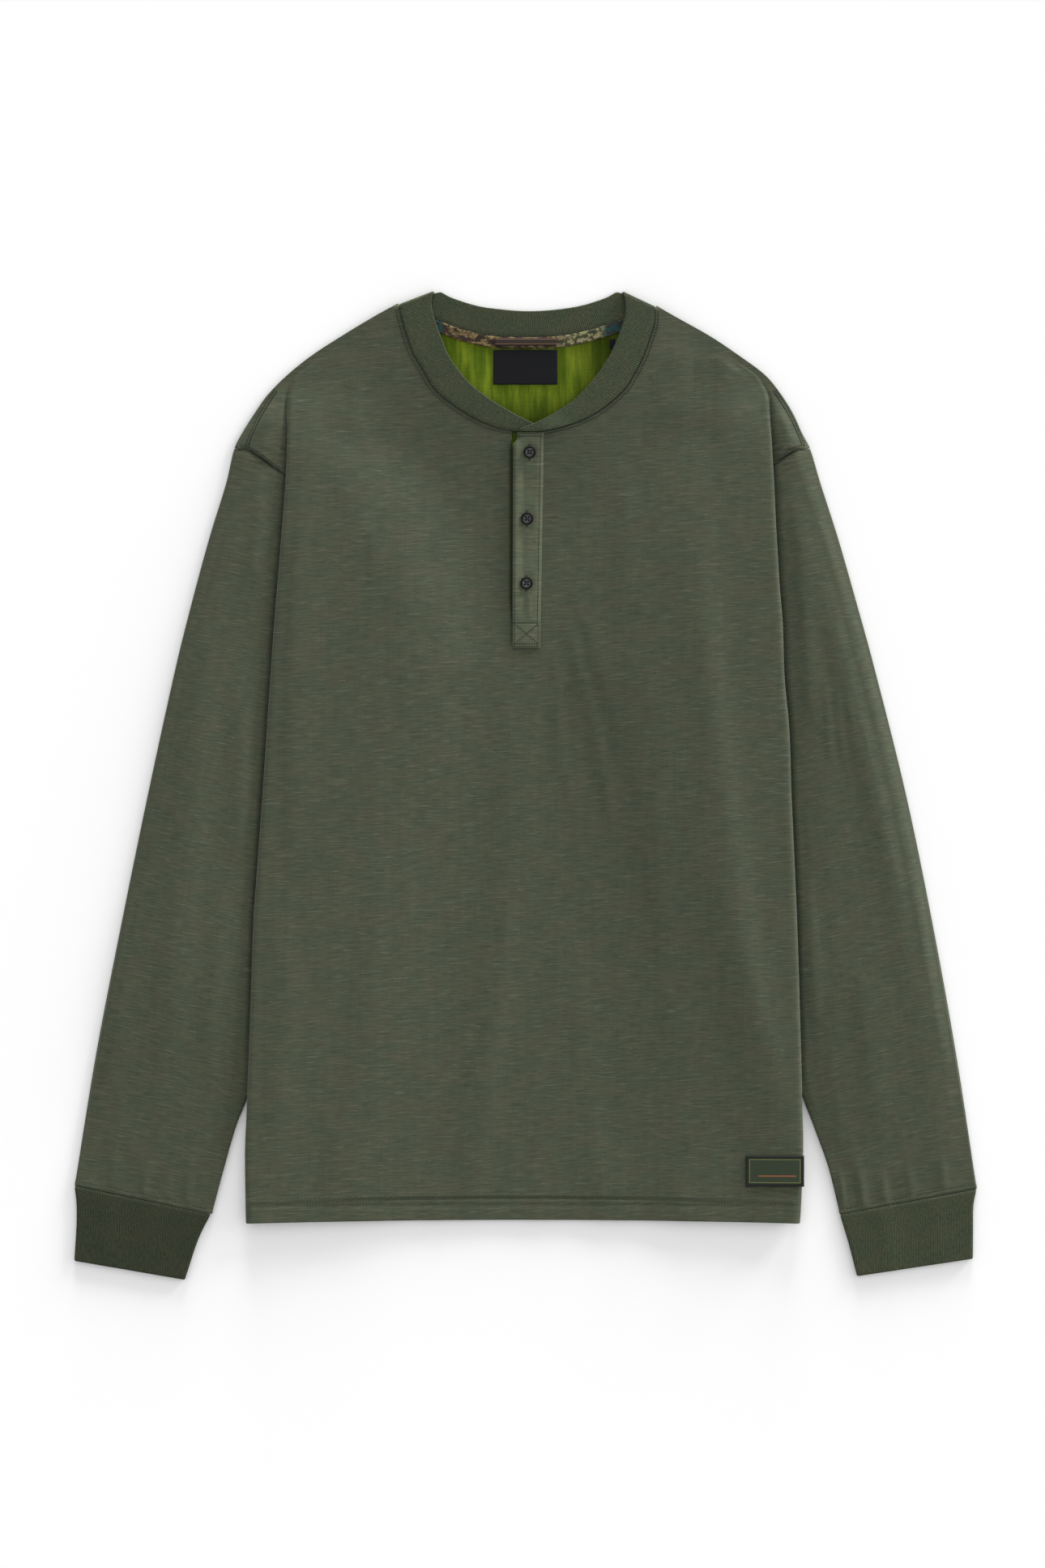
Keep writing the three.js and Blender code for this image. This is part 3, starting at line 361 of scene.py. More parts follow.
# The placket and its buttons
PLACKET_THICK = 1.4
PLACKET_EDGES = [
    {"y": 106.2, "left": -10.1, "right": 11.7},
    {"y": 264.8, "left": -9.3, "right": 14.4},
    {"y": 268.8, "left": -6.2, "right": 14.5},
    {"y": 273.6, "left": -6.1, "right": 14.5},
]
PLACKET_BOTTOM_Y = PLACKET_EDGES[0]["y"]
PLACKET_TOP_Y = PLACKET_EDGES[-1]["y"]
BUTTONS = [
    {"name": "button_1", "x": 3.4, "y": 258.2},
    {"name": "button_2", "x": 1.4, "y": 206.7},
    {"name": "button_3", "x": 0.9, "y": 156.6},
]
BUTTON = {"radius": 4.8, "height": 2, "seat": 2.7, "hole": 0.78, "spread": 1.2, "face": 3.2}

# The tape over the back neck seam, with its labels, and the patch at the hem
TAPE = {"left": -70, "right": 78, "deep": 9}
STRIP_LABEL = {"left": -23.6, "right": 24.3, "bottom": 341.2, "top": 346.9}
SIZE_TAB = {"left": 65.5, "right": 69.6, "bottom": 339.3, "top": 346.4}
HEM_PATCH = {"inner": 171, "outer": 216.2, "bottom": -311.6, "top": -287.6}

# How far the cloth's rows rise to the right
OFF_GRAIN = 0.05

# Grid steps of the finer pieces
COLUMNS = {"bottom": 12, "arc": 8, "middle": 5, "top": 66}
FLAT_OUTER_SHARE = 0.08
EXTRA_COLUMNS = COLUMNS["bottom"] + COLUMNS["arc"]
SIDE_COLUMNS = EXTRA_COLUMNS + COLUMNS["middle"] + COLUMNS["arc"] + COLUMNS["top"]

SIDES = ("left", "right")


def sign_of(side):
    return -1 if side == "left" else 1


def mix(a, b, t):
    return a + (b - a) * t


def smooth(value):
    held = np.clip(value, 0, 1)
    return held**2 * (3 - 2 * held)


def column_of(rows, key):
    return np.array([row[key] for row in rows], float)


def track(rows, key, column, at, straight=False):
    """The column's value where the key column has the value at, on a smooth curve through the rows."""
    keys = column_of(rows, key)
    values = column_of(rows, column)
    if keys[-1] < keys[0]:
        keys = keys[::-1]
        values = values[::-1]
    at = np.asarray(at, float)
    i = np.clip(np.searchsorted(keys, at) - 1, 0, len(keys) - 2)
    span = keys[i + 1] - keys[i]
    t = np.clip((at - keys[i]) / span, 0, 1)
    if straight:
        return mix(values[i], values[i + 1], t)
    before = np.maximum(np.arange(len(keys)) - 1, 0)
    after = np.minimum(np.arange(len(keys)) + 1, len(keys) - 1)
    slopes = (values[after] - values[before]) / (keys[after] - keys[before])
    lead = t * (1 - t) ** 2 * span * slopes[i]
    tail = t**2 * (t - 1) * span * slopes[i + 1]
    return mix(values[i], values[i + 1], t * t * (3 - 2 * t)) + lead + tail


def levels(stops, steps):
    """Values from stop to stop, each stretch cut into equal parts near its own step."""
    found = [stops[0]]
    for low, high, step in zip(stops, stops[1:], steps):
        count = max(1, round(abs(high - low) / step))
        found.extend(mix(low, high, k / count) for k in range(1, count + 1))
    return np.array(found)


# Shapes of the body

def neck_hump(x, y):
    """How high the front is held off the back near the neck."""
    away = np.hypot(x / NECK_HUMP["reachX"], (y - NECK_HUMP["middleY"]) / NECK_HUMP["reachY"])
    return NECK_HUMP["height"] * smooth(1 - away)


def fold_edge(side, y):
    return track(FOLD_EDGE, "y", side, y)


def outer_edge(side, y):
    return track(OUTER_EDGE, "y", side, y)


def fold_depth(y):
    return np.maximum(LEAST_DEPTH, track(FOLD_DEPTH, "y", "width", y))


def fold_turn(y):
    degrees = track(FOLD_TURN, "y", "degrees", y, straight=True)
    return np.maximum(LEAST_TURN, np.radians(degrees))


def armhole_edge(side, y):
    """The armhole runs a little nearer the middle on the side whose shoulder is shorter."""
    shoulder = outer_edge(side, SHOULDER_Y) - ARMHOLE[0]["u"]
    share = smooth((np.asarray(y) - ARMPIT_Y) / (SHOULDER_Y - ARMPIT_Y))
    return track(ARMHOLE, "y", "u", y, straight=True) + shoulder * share


def bend_length(side, y):
    """The length of one bend of the fold, so that two bends together rise by the fold's height at most."""
    turn = fold_turn(y)
    height = track(FOLD_HEIGHT, "y", "height", y) - fold_depth(y) * np.sin(turn)
    full = np.maximum(LEAST_RISE, height) / 2 * turn / (1 - np.cos(turn))
    room = np.maximum(1, (outer_edge(side, y) - fold_edge(side, y)) * BEND_ROOM)
    return np.where(turn > math.pi / 2, full, np.minimum(np.minimum(full, WIDEST_ARC), room))


def fold_rise(side, y):
    turn = fold_turn(y)
    return 2 * bend_length(side, y) * (1 - np.cos(turn)) / turn + fold_depth(y) * np.sin(turn)


def strip_edge(side, y):
    """The line where the folded strip ends: the side seam, or the inner bend above the armpit."""
    return fold_edge(side, y) - fold_depth(y)


def lift_edge(side, y):
    """The line beyond which something lies below the strip: the sleeve, or the lowest pass."""
    return np.where(np.asarray(y) >= ARMPIT_Y, strip_edge(side, y), track(UNDERARM_EDGE, "y", side, y))


def ramp_to(edge, u, length):
    return smooth((u - (edge - RAMP_CLEAR - length)) / length)


def top_height(side, u, y):
    share = ramp_to(lift_edge(side, y), u, LIFT_RAMP) + ramp_to(strip_edge(side, y), u, STRIP_RAMP)
    return PAIR_Z + fold_rise(side, y) / 2 * share


def strip_height(side, u, y):
    return PAIR_Z + PASS_RISE * ramp_to(lift_edge(side, y), u, LIFT_RAMP)


def front_height(side, u, y):
    return top_height(side, u, y) + PAIR_HALF + neck_hump(u, y)


def body_section(side, y, inner_end):
    """Rows of one side of the body, from the outer end of the lowest pass to the middle.
    y and inner_end are columns of one value a row. Gives u and z with a value a column."""
    turn = fold_turn(y)
    bend = bend_length(side, y)
    radius = bend / turn
    depth = fold_depth(y)
    outermost = fold_edge(side, y) - FAR
    top_end = outermost - radius * np.sin(np.minimum(turn, math.pi / 2))
    bend_end = top_end + 2 * radius * np.sin(turn) + depth * np.cos(turn)
    outer_end = np.where(y > SHOULDER_Y - SEAM_GAP, outer_edge(side, y), armhole_edge(side, y))
    share = np.arange(COLUMNS["bottom"])[None, :] / COLUMNS["bottom"]
    bottom_u = mix(outer_end, bend_end, share)
    bottom_z = np.full_like(bottom_u, PAIR_Z)
    angle = turn * np.arange(COLUMNS["arc"])[None, :] / COLUMNS["arc"]
    inner_arc_u = bend_end - radius * np.sin(angle)
    inner_arc_z = PAIR_Z + radius * (1 - np.cos(angle))
    share = np.arange(COLUMNS["middle"])[None, :] / COLUMNS["middle"]
    strip_u = top_end + radius * np.sin(turn) + depth * np.cos(turn) * (1 - share)
    above_z = PAIR_Z + radius * (1 - np.cos(turn)) + depth * np.sin(turn) * share
    strip_z = np.where(y >= ARMPIT_Y, above_z, strip_height(side, strip_u, y))
    angle = turn * (1 - np.arange(COLUMNS["arc"])[None, :] / COLUMNS["arc"])
    outer_arc_u = top_end + radius * np.sin(angle)
    outer_arc_z = top_height(side, top_end, y) - radius * (1 - np.cos(angle))
    share = np.arange(COLUMNS["top"] + 1)[None, :] / COLUMNS["top"]
    top_u = mix(top_end, inner_end, share)
    top_z = top_height(side, top_u, y)
    u = np.concatenate([bottom_u, inner_arc_u, strip_u, outer_arc_u, top_u], axis=1)
    z = np.concatenate([bottom_z, inner_arc_z, strip_z, outer_arc_z, top_z], axis=1)
    spread = np.concatenate([
        FLAT_OUTER_SHARE * np.arange(SIDE_COLUMNS - COLUMNS["top"]) / (SIDE_COLUMNS - COLUMNS["top"]),
        mix(FLAT_OUTER_SHARE, 1, np.arange(COLUMNS["top"] + 1) / COLUMNS["top"]),
    ])
    flat_u = mix(outer_edge(side, y), inner_end, spread[None, :])
    flat = y > FOLD_START_Y
    return np.where(flat, flat_u, u), np.where(flat, PAIR_Z, z)


def section_normals(u, z):
    """Direction across a section: up in the top pass, outward in the outer bend, down in the strip."""
    before = np.maximum(np.arange(u.shape[1]) - 1, 0)
    after = np.minimum(np.arange(u.shape[1]) + 1, u.shape[1] - 1)
    du = u[:, after] - u[:, before]
    dz = z[:, after] - z[:, before]
    length = np.hypot(du, dz)
    return dz / length, -du / length


def hem_rise(side, u, y):
    low = smooth((HEM_Y + HEM_RISE_REACH - y) / HEM_RISE_REACH)
    return HEM_RISE * low * (1 - (u / fold_edge(side, y)) ** 2)


def hem_edge_rise(x, y):
    """How far the hem's edge stands above its lowest level, for the rows next to it."""
    return by_side(x, lambda side: hem_rise(side, np.abs(x), HEM_Y))


def tip_level(side, rows):
    """Rows near the neck point are spread upward as far as the side's own tip."""
    share = smooth((rows - TIP_START_Y) / (TIP_Y - TIP_START_Y))
    return rows + (TIP_TOP[side] - TIP_Y) * share


def body_sheet(rows, inner_end_of):
    """Points, normals and cloth coordinates of the sheet midway between front and back."""
    halves = []
    for side in SIDES:
        y = tip_level(side, rows)[:, None]
        inner_end = inner_end_of(side, y)
        u, z = body_section(side, y, inner_end)
        normal_u, normal_z = section_normals(u, z)
        steps = np.hypot(np.diff(u, axis=1), np.diff(z, axis=1))
        run = np.concatenate([np.cumsum(steps[:, ::-1], axis=1)[:, ::-1], np.zeros_like(y)], axis=1)
        level = y + hem_rise(side, u, y)
        sign = sign_of(side)
        points = np.stack([sign * u, level, z], axis=-1)
        normals = np.stack([sign * normal_u, np.zeros_like(u), normal_z], axis=-1)
        across = sign * (inner_end + run)
        cloth = np.stack([across, level - OFF_GRAIN * across], axis=-1)
        if side == "right":
            points, normals, cloth = points[:, ::-1], normals[:, ::-1], cloth[:, ::-1]
        halves.append((points, normals, cloth))
    return tuple(np.concatenate(pair, axis=1) for pair in zip(*halves))


def body_cells(rows, open_from):
    """A body panel has no lowest pass below the armpit, and no middle cell where it is open."""
    total = 2 * SIDE_COLUMNS + 1
    i = np.arange(total)[None, :]
    y = rows[:-1, None]
    from_side = np.minimum(i, total - 1 - i)
    low = (from_side < EXTRA_COLUMNS) & (y < ARMPIT_Y)
    opened = (i == SIDE_COLUMNS) & (y >= open_from)
    return ~(low | opened)


def seam_inner(rows, side, y):
    """Where a panel ends towards the middle, along its neck seam."""
    sign = sign_of(side)
    own = [row for row in rows if sign * row["seamX"] >= 0]
    seam_u = sign * track(own, "seamY", "seamX", y + SEAM_GAP)
    foot = TURN_FOOT[side]
    past = y + SEAM_GAP - foot["y"]
    return np.maximum(SLIT[side], np.where(past > 0, foot["u"] + TURN_LEAN * past + SEAM_GAP, seam_u))


def slit_edge(side, y):
    """The slit's edge, which stands a little open on the left between its two ends."""
    gape = SLIT_GAPE * smooth((y - 120) / 28) * smooth((268 - y) / 10)
    return SLIT[side] + (gape if side == "left" else 0)


def front_inner(side, y):
    rows = COLLAR_FRONT_LEFT if side == "left" else COLLAR_FRONT_RIGHT
    own = [row for row in rows if sign_of(side) * row["seamX"] > 0]
    return np.where(y <= NECK_FRONT_Y, slit_edge(side, y), seam_inner(own, side, y))


def back_inner(side, y):
    return np.where(y <= NECK_BACK_Y, SLIT[side], seam_inner(COLLAR_BACK, side, y))


# Creases and the heights of what shows

def crease_lift(creases, x, y):
    total = np.zeros(np.broadcast(x, y).shape)
    for crease in creases:
        path = [{"x": x_at, "y": y_at} for x_at, y_at in crease["path"]]
        top, foot = path[0]["y"], path[-1]["y"]
        off = x - track(path, "y", "x", y)
        width = np.where(off < 0, crease["widths"][0], crease["widths"][1])
        fade = CREASE_FADE * (top - foot)
        along = smooth((top - y) / fade) * smooth((y - foot) / fade)
        total = total + crease["height"] * along * np.exp(-((off / width) ** 2))
    return total


def by_side(x, value_of):
    """The value of the left or the right side, as each place needs."""
    return np.where(x < 0, value_of("left"), value_of("right"))


def front_crease(x, y):
    """The lift of the front's top pass, which dies away at the fold."""
    room = by_side(x, lambda side: fold_edge(side, y)) - np.abs(x)
    return FRONT_CREASE_SHARE * crease_lift(FRONT_CREASES, x, y) * smooth((room - 3) / 11)


FOLD_LIP = {"steep": 2.9, "start": 0.2, "steep_reach": 3.6, "soft": 0.9, "soft_reach": 14}


def fold_lip(past_fold):
    """The cloth that lies beside the body's fold rises from the fold's foot."""
    past = past_fold - FOLD_LIP["start"]
    steep = FOLD_LIP["steep"] * smooth(past / FOLD_LIP["steep_reach"])
    return steep + FOLD_LIP["soft"] * smooth(past / FOLD_LIP["soft_reach"])


def cap_crease(x, y):
    """The lift of the part of the shoulder that shows outside the fold."""
    past_fold = np.abs(x) - by_side(x, lambda side: fold_edge(side, y))
    room = by_side(x, lambda side: outer_edge(side, y)) - np.abs(x)
    lip = fold_lip(past_fold) * smooth((318 - y) / 40)
    return (crease_lift(CAP_CREASES, x, y) * smooth((past_fold - 1) / 5) + lip) * smooth(room / 12)


def front_skin(x, y):
    """The height of the front's outer face where it shows."""
    x, y = np.broadcast_arrays(np.asarray(x, float), np.asarray(y, float))
    u = np.abs(x)
    level = y - by_side(x, lambda side: hem_rise(side, u, y))
    in_fold = u < by_side(x, lambda side: fold_edge(side, level))
    top = by_side(x, lambda side: top_height(side, u, level)) + front_crease(x, y)
    cap = PAIR_Z + cap_crease(x, y)
    return np.where(in_fold, top, cap) + PAIR_HALF + CLOTH / 2 + neck_hump(x, y) + hem_welt(y)


def hem_welt(y):
    """The extra thickness where the hem is turned up and sewn."""
    inside = smooth((HEM_STITCH_Y["high"] + 1 - y) / 3)
    band = np.exp(-(((y - HEM_STITCH_Y["low"]) / 1.3) ** 2))
    return HEM_WELT * inside * (1 - 0.7 * band)


HEM_WELT = 0.45
HEM_STITCH_Y = {"high": -321.4, "low": -326.4}


# Meshes

def wall(points, normals, near, far, has=None, closed=False, coords=None):
    """A closed wall between two offsets of a grid of points, as vertices, quads, layer marks and coordinates."""
    rows, columns = points.shape[:2]
    cell_columns = columns if closed else columns - 1
    present = np.ones((rows - 1, cell_columns), bool) if has is None else has[:, :cell_columns]
    near = np.broadcast_to(near, (rows, columns))[..., None]
    far = np.broadcast_to(far, (rows, columns))[..., None]
    vertices = np.concatenate([(points + normals * near).reshape(-1, 3), (points + normals * far).reshape(-1, 3)])
    j, i = np.nonzero(present)

    def at(di, dj, layer, j, i):
        return layer * rows * columns + (j + dj) * columns + (i + di) % columns

    framed = np.pad(present, 1)
    if closed:
        framed[:, 0] = framed[:, -2]
        framed[:, -1] = framed[:, 1]
    here = framed[1:-1, 1:-1]
    open_sides = {
        "low": here & ~framed[:-2, 1:-1],
        "high": here & ~framed[2:, 1:-1],
        "start": here & ~framed[1:-1, :-2],
        "end": here & ~framed[1:-1, 2:],
    }
    corner_lists = {
        "far": [(0, 0, 1), (1, 0, 1), (1, 1, 1), (0, 1, 1)],
        "near": [(0, 0, 0), (0, 1, 0), (1, 1, 0), (1, 0, 0)],
        "low": [(0, 0, 0), (1, 0, 0), (1, 0, 1), (0, 0, 1)],
        "high": [(1, 1, 0), (0, 1, 0), (0, 1, 1), (1, 1, 1)],
        "start": [(0, 1, 0), (0, 0, 0), (0, 0, 1), (0, 1, 1)],
        "end": [(1, 0, 0), (1, 1, 0), (1, 1, 1), (1, 0, 1)],
    }
    quads, marks, corners = [], [], []
    for part, corner_list in corner_lists.items():
        if part in open_sides:
            cell_j, cell_i = np.nonzero(open_sides[part])
        else:
            cell_j, cell_i = j, i
        quads.append(np.stack([at(di, dj, layer, cell_j, cell_i) for di, dj, layer in corner_list], axis=1))
        marks.append(np.full(len(cell_j), 1 if part == "near" else 0))
        if coords is not None:
            corners.append(np.stack([coords[cell_j + dj, cell_i + di] for di, dj, _ in corner_list], axis=1))
    found = np.concatenate(corners) if coords is not None else None
    return vertices, np.concatenate(quads), np.concatenate(marks), found


def grid_normals(points, closed=False):
    """Normals of a grid, from its neighbouring points along both directions."""
    rows, columns = points.shape[:2]
    index = np.arange(columns)
    before = (index - 1) % columns if closed else np.maximum(index - 1, 0)
    after = (index + 1) % columns if closed else np.minimum(index + 1, columns - 1)
    across = points[:, after] - points[:, before]
    low = np.maximum(np.arange(rows) - 1, 0)
    high = np.minimum(np.arange(rows) + 1, rows - 1)
    along = points[high] - points[low]
    normals = np.cross(across, along)
    return normals / np.maximum(np.linalg.norm(normals, axis=-1, keepdims=True), 1e-9)


def piece(name, shape, materials, replaced):
    """A mesh object made from a wall, riding on the shirt's one body in place of its CAD node."""
    vertices, quads, marks, corners = shape
    used, quads = np.unique(quads, return_inverse=True)
    quads = quads.reshape(-1, 4)
    vertices = (vertices[used] + SHIFT) / 1000
    mesh = bpy.data.meshes.new(name)
    mesh.vertices.add(len(vertices))
    mesh.vertices.foreach_set("co", vertices.astype(np.float32).ravel())
    mesh.loops.add(quads.size)
    mesh.loops.foreach_set("vertex_index", quads.astype(np.int32).ravel())
    mesh.polygons.add(len(quads))
    mesh.polygons.foreach_set("loop_start", np.arange(0, quads.size, 4, dtype=np.int32))
    mesh.polygons.foreach_set("material_index", marks.astype(np.int32))
    mesh.update(calc_edges=True)
    mesh.shade_smooth()
    if corners is not None:
        layer = mesh.uv_layers.new(name="cloth")
        layer.uv.foreach_set("vector", (corners / 1000).astype(np.float32).ravel())
    for material in materials:
        mesh.materials.append(material)
    mesh.validate()
    made = bpy.data.objects.new(name, mesh)
    bpy.context.scene.collection.objects.link(made)
    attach(made, "root")
    if replaced:
        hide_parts(replaced)
    return made


def edge_round(distance, half):
    """The share of a full half thickness that a rounded edge has at a distance from it."""
    reach = np.clip(distance / half, 0, 1)
    return np.sqrt(np.maximum(1 - (1 - reach) ** 2, 0.01))


# Materials

class Look:
    """A finish, with short ways to add and join its nodes. Lengths given to it are in millimetres of cloth."""

    def __init__(self, name, roughness, sheen=0.0, specular=0.2):
        self.material = bpy.data.materials.new(name)
        self.material.use_nodes = True
        self.tree = self.material.node_tree
        self.shader = self.tree.nodes["Principled BSDF"]
        self.shader.inputs["Roughness"].default_value = roughness
        self.shader.inputs["Specular IOR Level"].default_value = specular
        self.shader.inputs["Sheen Weight"].default_value = sheen
        self.shader.inputs["Sheen Roughness"].default_value = 0.5

    def give(self, socket, value):
        if isinstance(value, bpy.types.NodeSocket):
            self.tree.links.new(value, socket)
        else:
            socket.default_value = value

    def add(self, kind, inputs=None, **settings):
        node = self.tree.nodes.new("ShaderNode" + kind)
        for key, value in settings.items():
            setattr(node, key, value)
        for key, value in (inputs or {}).items():
            self.give(node.inputs[key], value)
        return node

    def cloth(self, across, along, drift=0):
        """Coordinates that count lengths across the cloth and along it, the rows waving up and down by drift."""
        place = self.add("UVMap", uv_map="cloth").outputs[0]
        if drift:
            wave = self.noise(self.cloth(*DRIFT_LENGTHS), detail=1)
            shift = self.math("MULTIPLY", self.math("SUBTRACT", wave, 0.5), drift / 1000)
            moved = self.add("CombineXYZ", {"Y": shift}).outputs[0]
            place = self.add("VectorMath", {0: place, 1: moved}, operation="ADD").outputs[0]
        return self.add("VectorMath", {0: place, 1: (1000 / across, 1000 / along, 1)}, operation="MULTIPLY").outputs[0]

    def noise(self, vector, detail=2, roughness=0.5):
        return self.add(
            "TexNoise", {"Vector": vector, "Scale": 1, "Detail": detail, "Roughness": roughness}
        ).outputs[0]

    def math(self, operation, *values):
        return self.add("Math", dict(enumerate(values)), operation=operation).outputs[0]

    def between(self, value, low, high, low_result=0, high_result=1):
        """The value taken smoothly from low..high to the two results, and held at them."""
        return self.add(
            "MapRange",
            {"Value": value, "From Min": low, "From Max": high, "To Min": low_result, "To Max": high_result},
            interpolation_type="SMOOTHSTEP",
        ).outputs[0]

    def blend(self, share, low, high):
        """A colour from low to high. A colour is three numbers or a socket."""
        node = self.add("Mix", data_type="RGBA")
        self.give(node.inputs[0], share)
        for socket, color in ((node.inputs[6], low), (node.inputs[7], high)):
            self.give(socket, color if isinstance(color, bpy.types.NodeSocket) else (*color, 1))
        return node.outputs[2]

    def shade(self, color, share, strength):
        """The colour made lighter or darker as share goes over or under a half, by strength at most."""
        level = self.math("MULTIPLY_ADD", share, 2 * strength, 1 - strength)
        grey = self.add("CombineColor", {"Red": level, "Green": level, "Blue": level}).outputs[0]
        node = self.add("Mix", data_type="RGBA", blend_type="MULTIPLY")
        self.give(node.inputs[0], 1.0)
        self.give(node.inputs[6], color)
        self.give(node.inputs[7], grey)
        return node.outputs[2]

    def wave(self, coordinate, sharpness=1):
        """Ribs of one unit each, from 0 in a groove to 1 on a crest."""
        swing = self.math("SINE", self.math("MULTIPLY", coordinate, 2 * math.pi))
        return self.math("POWER", self.math("MULTIPLY_ADD", swing, 0.5, 0.5), sharpness)

    def axes(self, vector):
        parts = self.add("SeparateXYZ", {0: vector}).outputs
        return parts[0], parts[1]

    def color(self, value):
        self.give(self.shader.inputs["Base Color"], value)

    def bump(self, height, depth, strength=1.0):
        """Relief whose height runs from 0 to 1 over the given depth."""
        node = self.add("Bump", {"Strength": strength, "Distance": depth / 1000, "Height": height})
        self.give(self.shader.inputs["Normal"], node.outputs[0])


DRIFT_LENGTHS = (170, 60)


def knit(look, wale, course):
    """The height of a fine knit: columns of loops with rows across them."""
    across, along = look.axes(look.cloth(wale, course))
    return look.math("MULTIPLY", look.wave(across), look.math("MULTIPLY_ADD", look.wave(along), 0.6, 0.4))


def jersey_look(name, lightness=1.0):
    """Slub jersey, dyed as a finished garment: uneven yarns lie across it, over soft green and brown blotches."""
    look = Look(name, roughness=0.9, sheen=0.12)
    green = tuple(lightness * value for value in (0.0505, 0.0620, 0.0380))
    brown = tuple(lightness * value for value in (0.0580, 0.0635, 0.0385))
    pale = tuple(lightness * value for value in (0.112, 0.122, 0.080))
    rust = tuple(lightness * value for value in (0.106, 0.096, 0.064))
    blotches = look.between(look.noise(look.cloth(26, 15), detail=4, roughness=0.62), 0.38, 0.62)
    columns = look.noise(look.cloth(5, 34), detail=3, roughness=0.6)
    yarns = look.noise(look.cloth(13, 1.15, drift=9), detail=3, roughness=0.65)
    slubs = look.between(look.noise(look.cloth(17, 1.9, drift=9), detail=3, roughness=0.6), 0.56, 0.7)
    thick_slubs = look.between(look.noise(look.cloth(34, 3.1, drift=9), detail=2), 0.58, 0.74)
    dye = look.blend(blotches, green, brown)
    dye = look.shade(dye, columns, 0.15)
    dye = look.shade(dye, yarns, 0.66)
    tint = look.blend(blotches, pale, rust)
    dye = look.blend(look.math("MULTIPLY", slubs, 0.46), dye, tint)
    dye = look.blend(look.math("MULTIPLY", thick_slubs, 0.26), dye, tint)
    look.color(dye)
    relief = look.math("MULTIPLY_ADD", knit(look, 0.9, 0.7), 0.25, look.math("MULTIPLY", yarns, 0.8))
    look.bump(look.math("MULTIPLY_ADD", slubs, 0.5, relief), 0.25, 0.6)
    return look.material


def rib_look(name, lightness=1.0):
    """Fine rib knit, whose ribs run from the seam to the free edge."""
    look = Look(name, roughness=0.9, sheen=0.05, specular=0.12)
    green = tuple(lightness * value for value in (0.0375, 0.0485, 0.0275))
    brown = tuple(lightness * value for value in (0.0445, 0.0500, 0.0285))
    across, _ = look.axes(look.cloth(1.35, 1))
    ribs = look.wave(across)
    blotches = look.between(look.noise(look.cloth(22, 16), detail=3), 0.36, 0.64)
    heather = look.noise(look.cloth(1.5, 2.6), detail=3, roughness=0.65)
    dye = look.blend(blotches, green, brown)
    dye = look.shade(dye, ribs, 0.2)
    look.color(look.shade(dye, heather, 0.8))
    look.bump(look.math("MULTIPLY_ADD", heather, 0.3, ribs), 0.3, 0.7)
    return look.material


def inside_look(name, shade_painted_below=None):
    """The bright inner face of the jersey, with the dye gone uneven down its length, and painted shade that darkens it
    towards the foot of the neck opening and towards its right side.
    The placket's underlay shows it only above a level, and below that its dark outer face, painted darker than the
    jersey as shade in the gap beside the flap."""
    look = Look(name, roughness=0.9, sheen=0.02, specular=0.05)
    runs = look.noise(look.cloth(9, 60), detail=4, roughness=0.6)
    fine = look.noise(look.cloth(1.6, 22), detail=2)
    yarns = look.noise(look.cloth(14, 0.95, drift=9), detail=2)
    dye = look.blend(look.between(runs, 0.36, 0.66), (0.060, 0.096, 0.0055), (0.136, 0.188, 0.0130))
    dye = look.shade(dye, fine, 0.25)
    side, down = look.axes(look.cloth(1, 1))
    # Painted shade: darker towards the foot of the opening and its right side, where the front collar shades the
    # inside.
    painted_collar_shade = look.math("MAXIMUM", look.between(down, 312, 280), look.between(side, 18, 62))
    dye = look.shade(dye, look.math("SUBTRACT", 0.5, look.math("MULTIPLY", painted_collar_shade, 0.5)), 0.56)
    if shade_painted_below:
        # Below the level, a colour darker than the jersey's own: the underlay's outer face with painted shade for the
        # gap beside the flap.
        _, along = look.axes(look.cloth(1, 1))
        dye = look.blend(look.between(along, shade_painted_below - 3, shade_painted_below), (0.020, 0.026, 0.012), dye)
    look.color(look.shade(dye, yarns, 0.2))
    look.bump(look.math("MULTIPLY_ADD", knit(look, 0.9, 0.7), 0.4, yarns), 0.25, 0.5)
    return look.material


def tape_look():
    """Woven tape with plain blotches of earth colours, greener to the right and blue-green at its two ends."""
    look = Look("tape", roughness=0.85)
    across, _ = look.axes(look.cloth(1, 1))
    spots = look.noise(look.cloth(7.5, 4.2), detail=4, roughness=0.65)
    leaves = look.noise(look.cloth(4.2, 3.4), detail=3, roughness=0.6)
    tan = look.blend(look.between(leaves, 0.42, 0.56), (0.086, 0.060, 0.025), (0.19, 0.14, 0.062))
    earth = look.blend(look.between(spots, 0.47, 0.56), (0.024, 0.015, 0.010), tan)
    green = look.blend(look.between(leaves, 0.46, 0.55), (0.036, 0.044, 0.020), (0.215, 0.195, 0.10))
    right = look.between(across, 15, 40)
    ground = look.blend(right, earth, green)
    teal = look.blend(look.between(spots, 0.42, 0.56), (0.012, 0.045, 0.046), (0.020, 0.020, 0.018))
    ends = look.math("MAXIMUM", look.between(across, -62, -66), look.between(across, 57, 64))
    patches = look.math("MULTIPLY", look.between(spots, 0.56, 0.6), right)
    look.color(look.blend(look.math("MAXIMUM", ends, patches), ground, teal))
    weave = look.wave(look.axes(look.cloth(0.7, 0.7))[0])
    look.bump(weave, 0.15, 0.5)
    return look.material


def frame_band(look, across, along, centre, half, inset, width):
    """A line of the given width that runs round a rectangle, inset from its edge."""
    from_x = look.math("SUBTRACT", half[0], look.math("ABSOLUTE", look.math("SUBTRACT", across, centre[0])))
    from_y = look.math("SUBTRACT", half[1], look.math("ABSOLUTE", look.math("SUBTRACT", along, centre[1])))
    nearest = look.math("MINIMUM", from_x, from_y)
    away = look.math("ABSOLUTE", look.math("SUBTRACT", nearest, inset))
    return look.between(away, width / 2, width / 2 + 0.15, 1, 0)


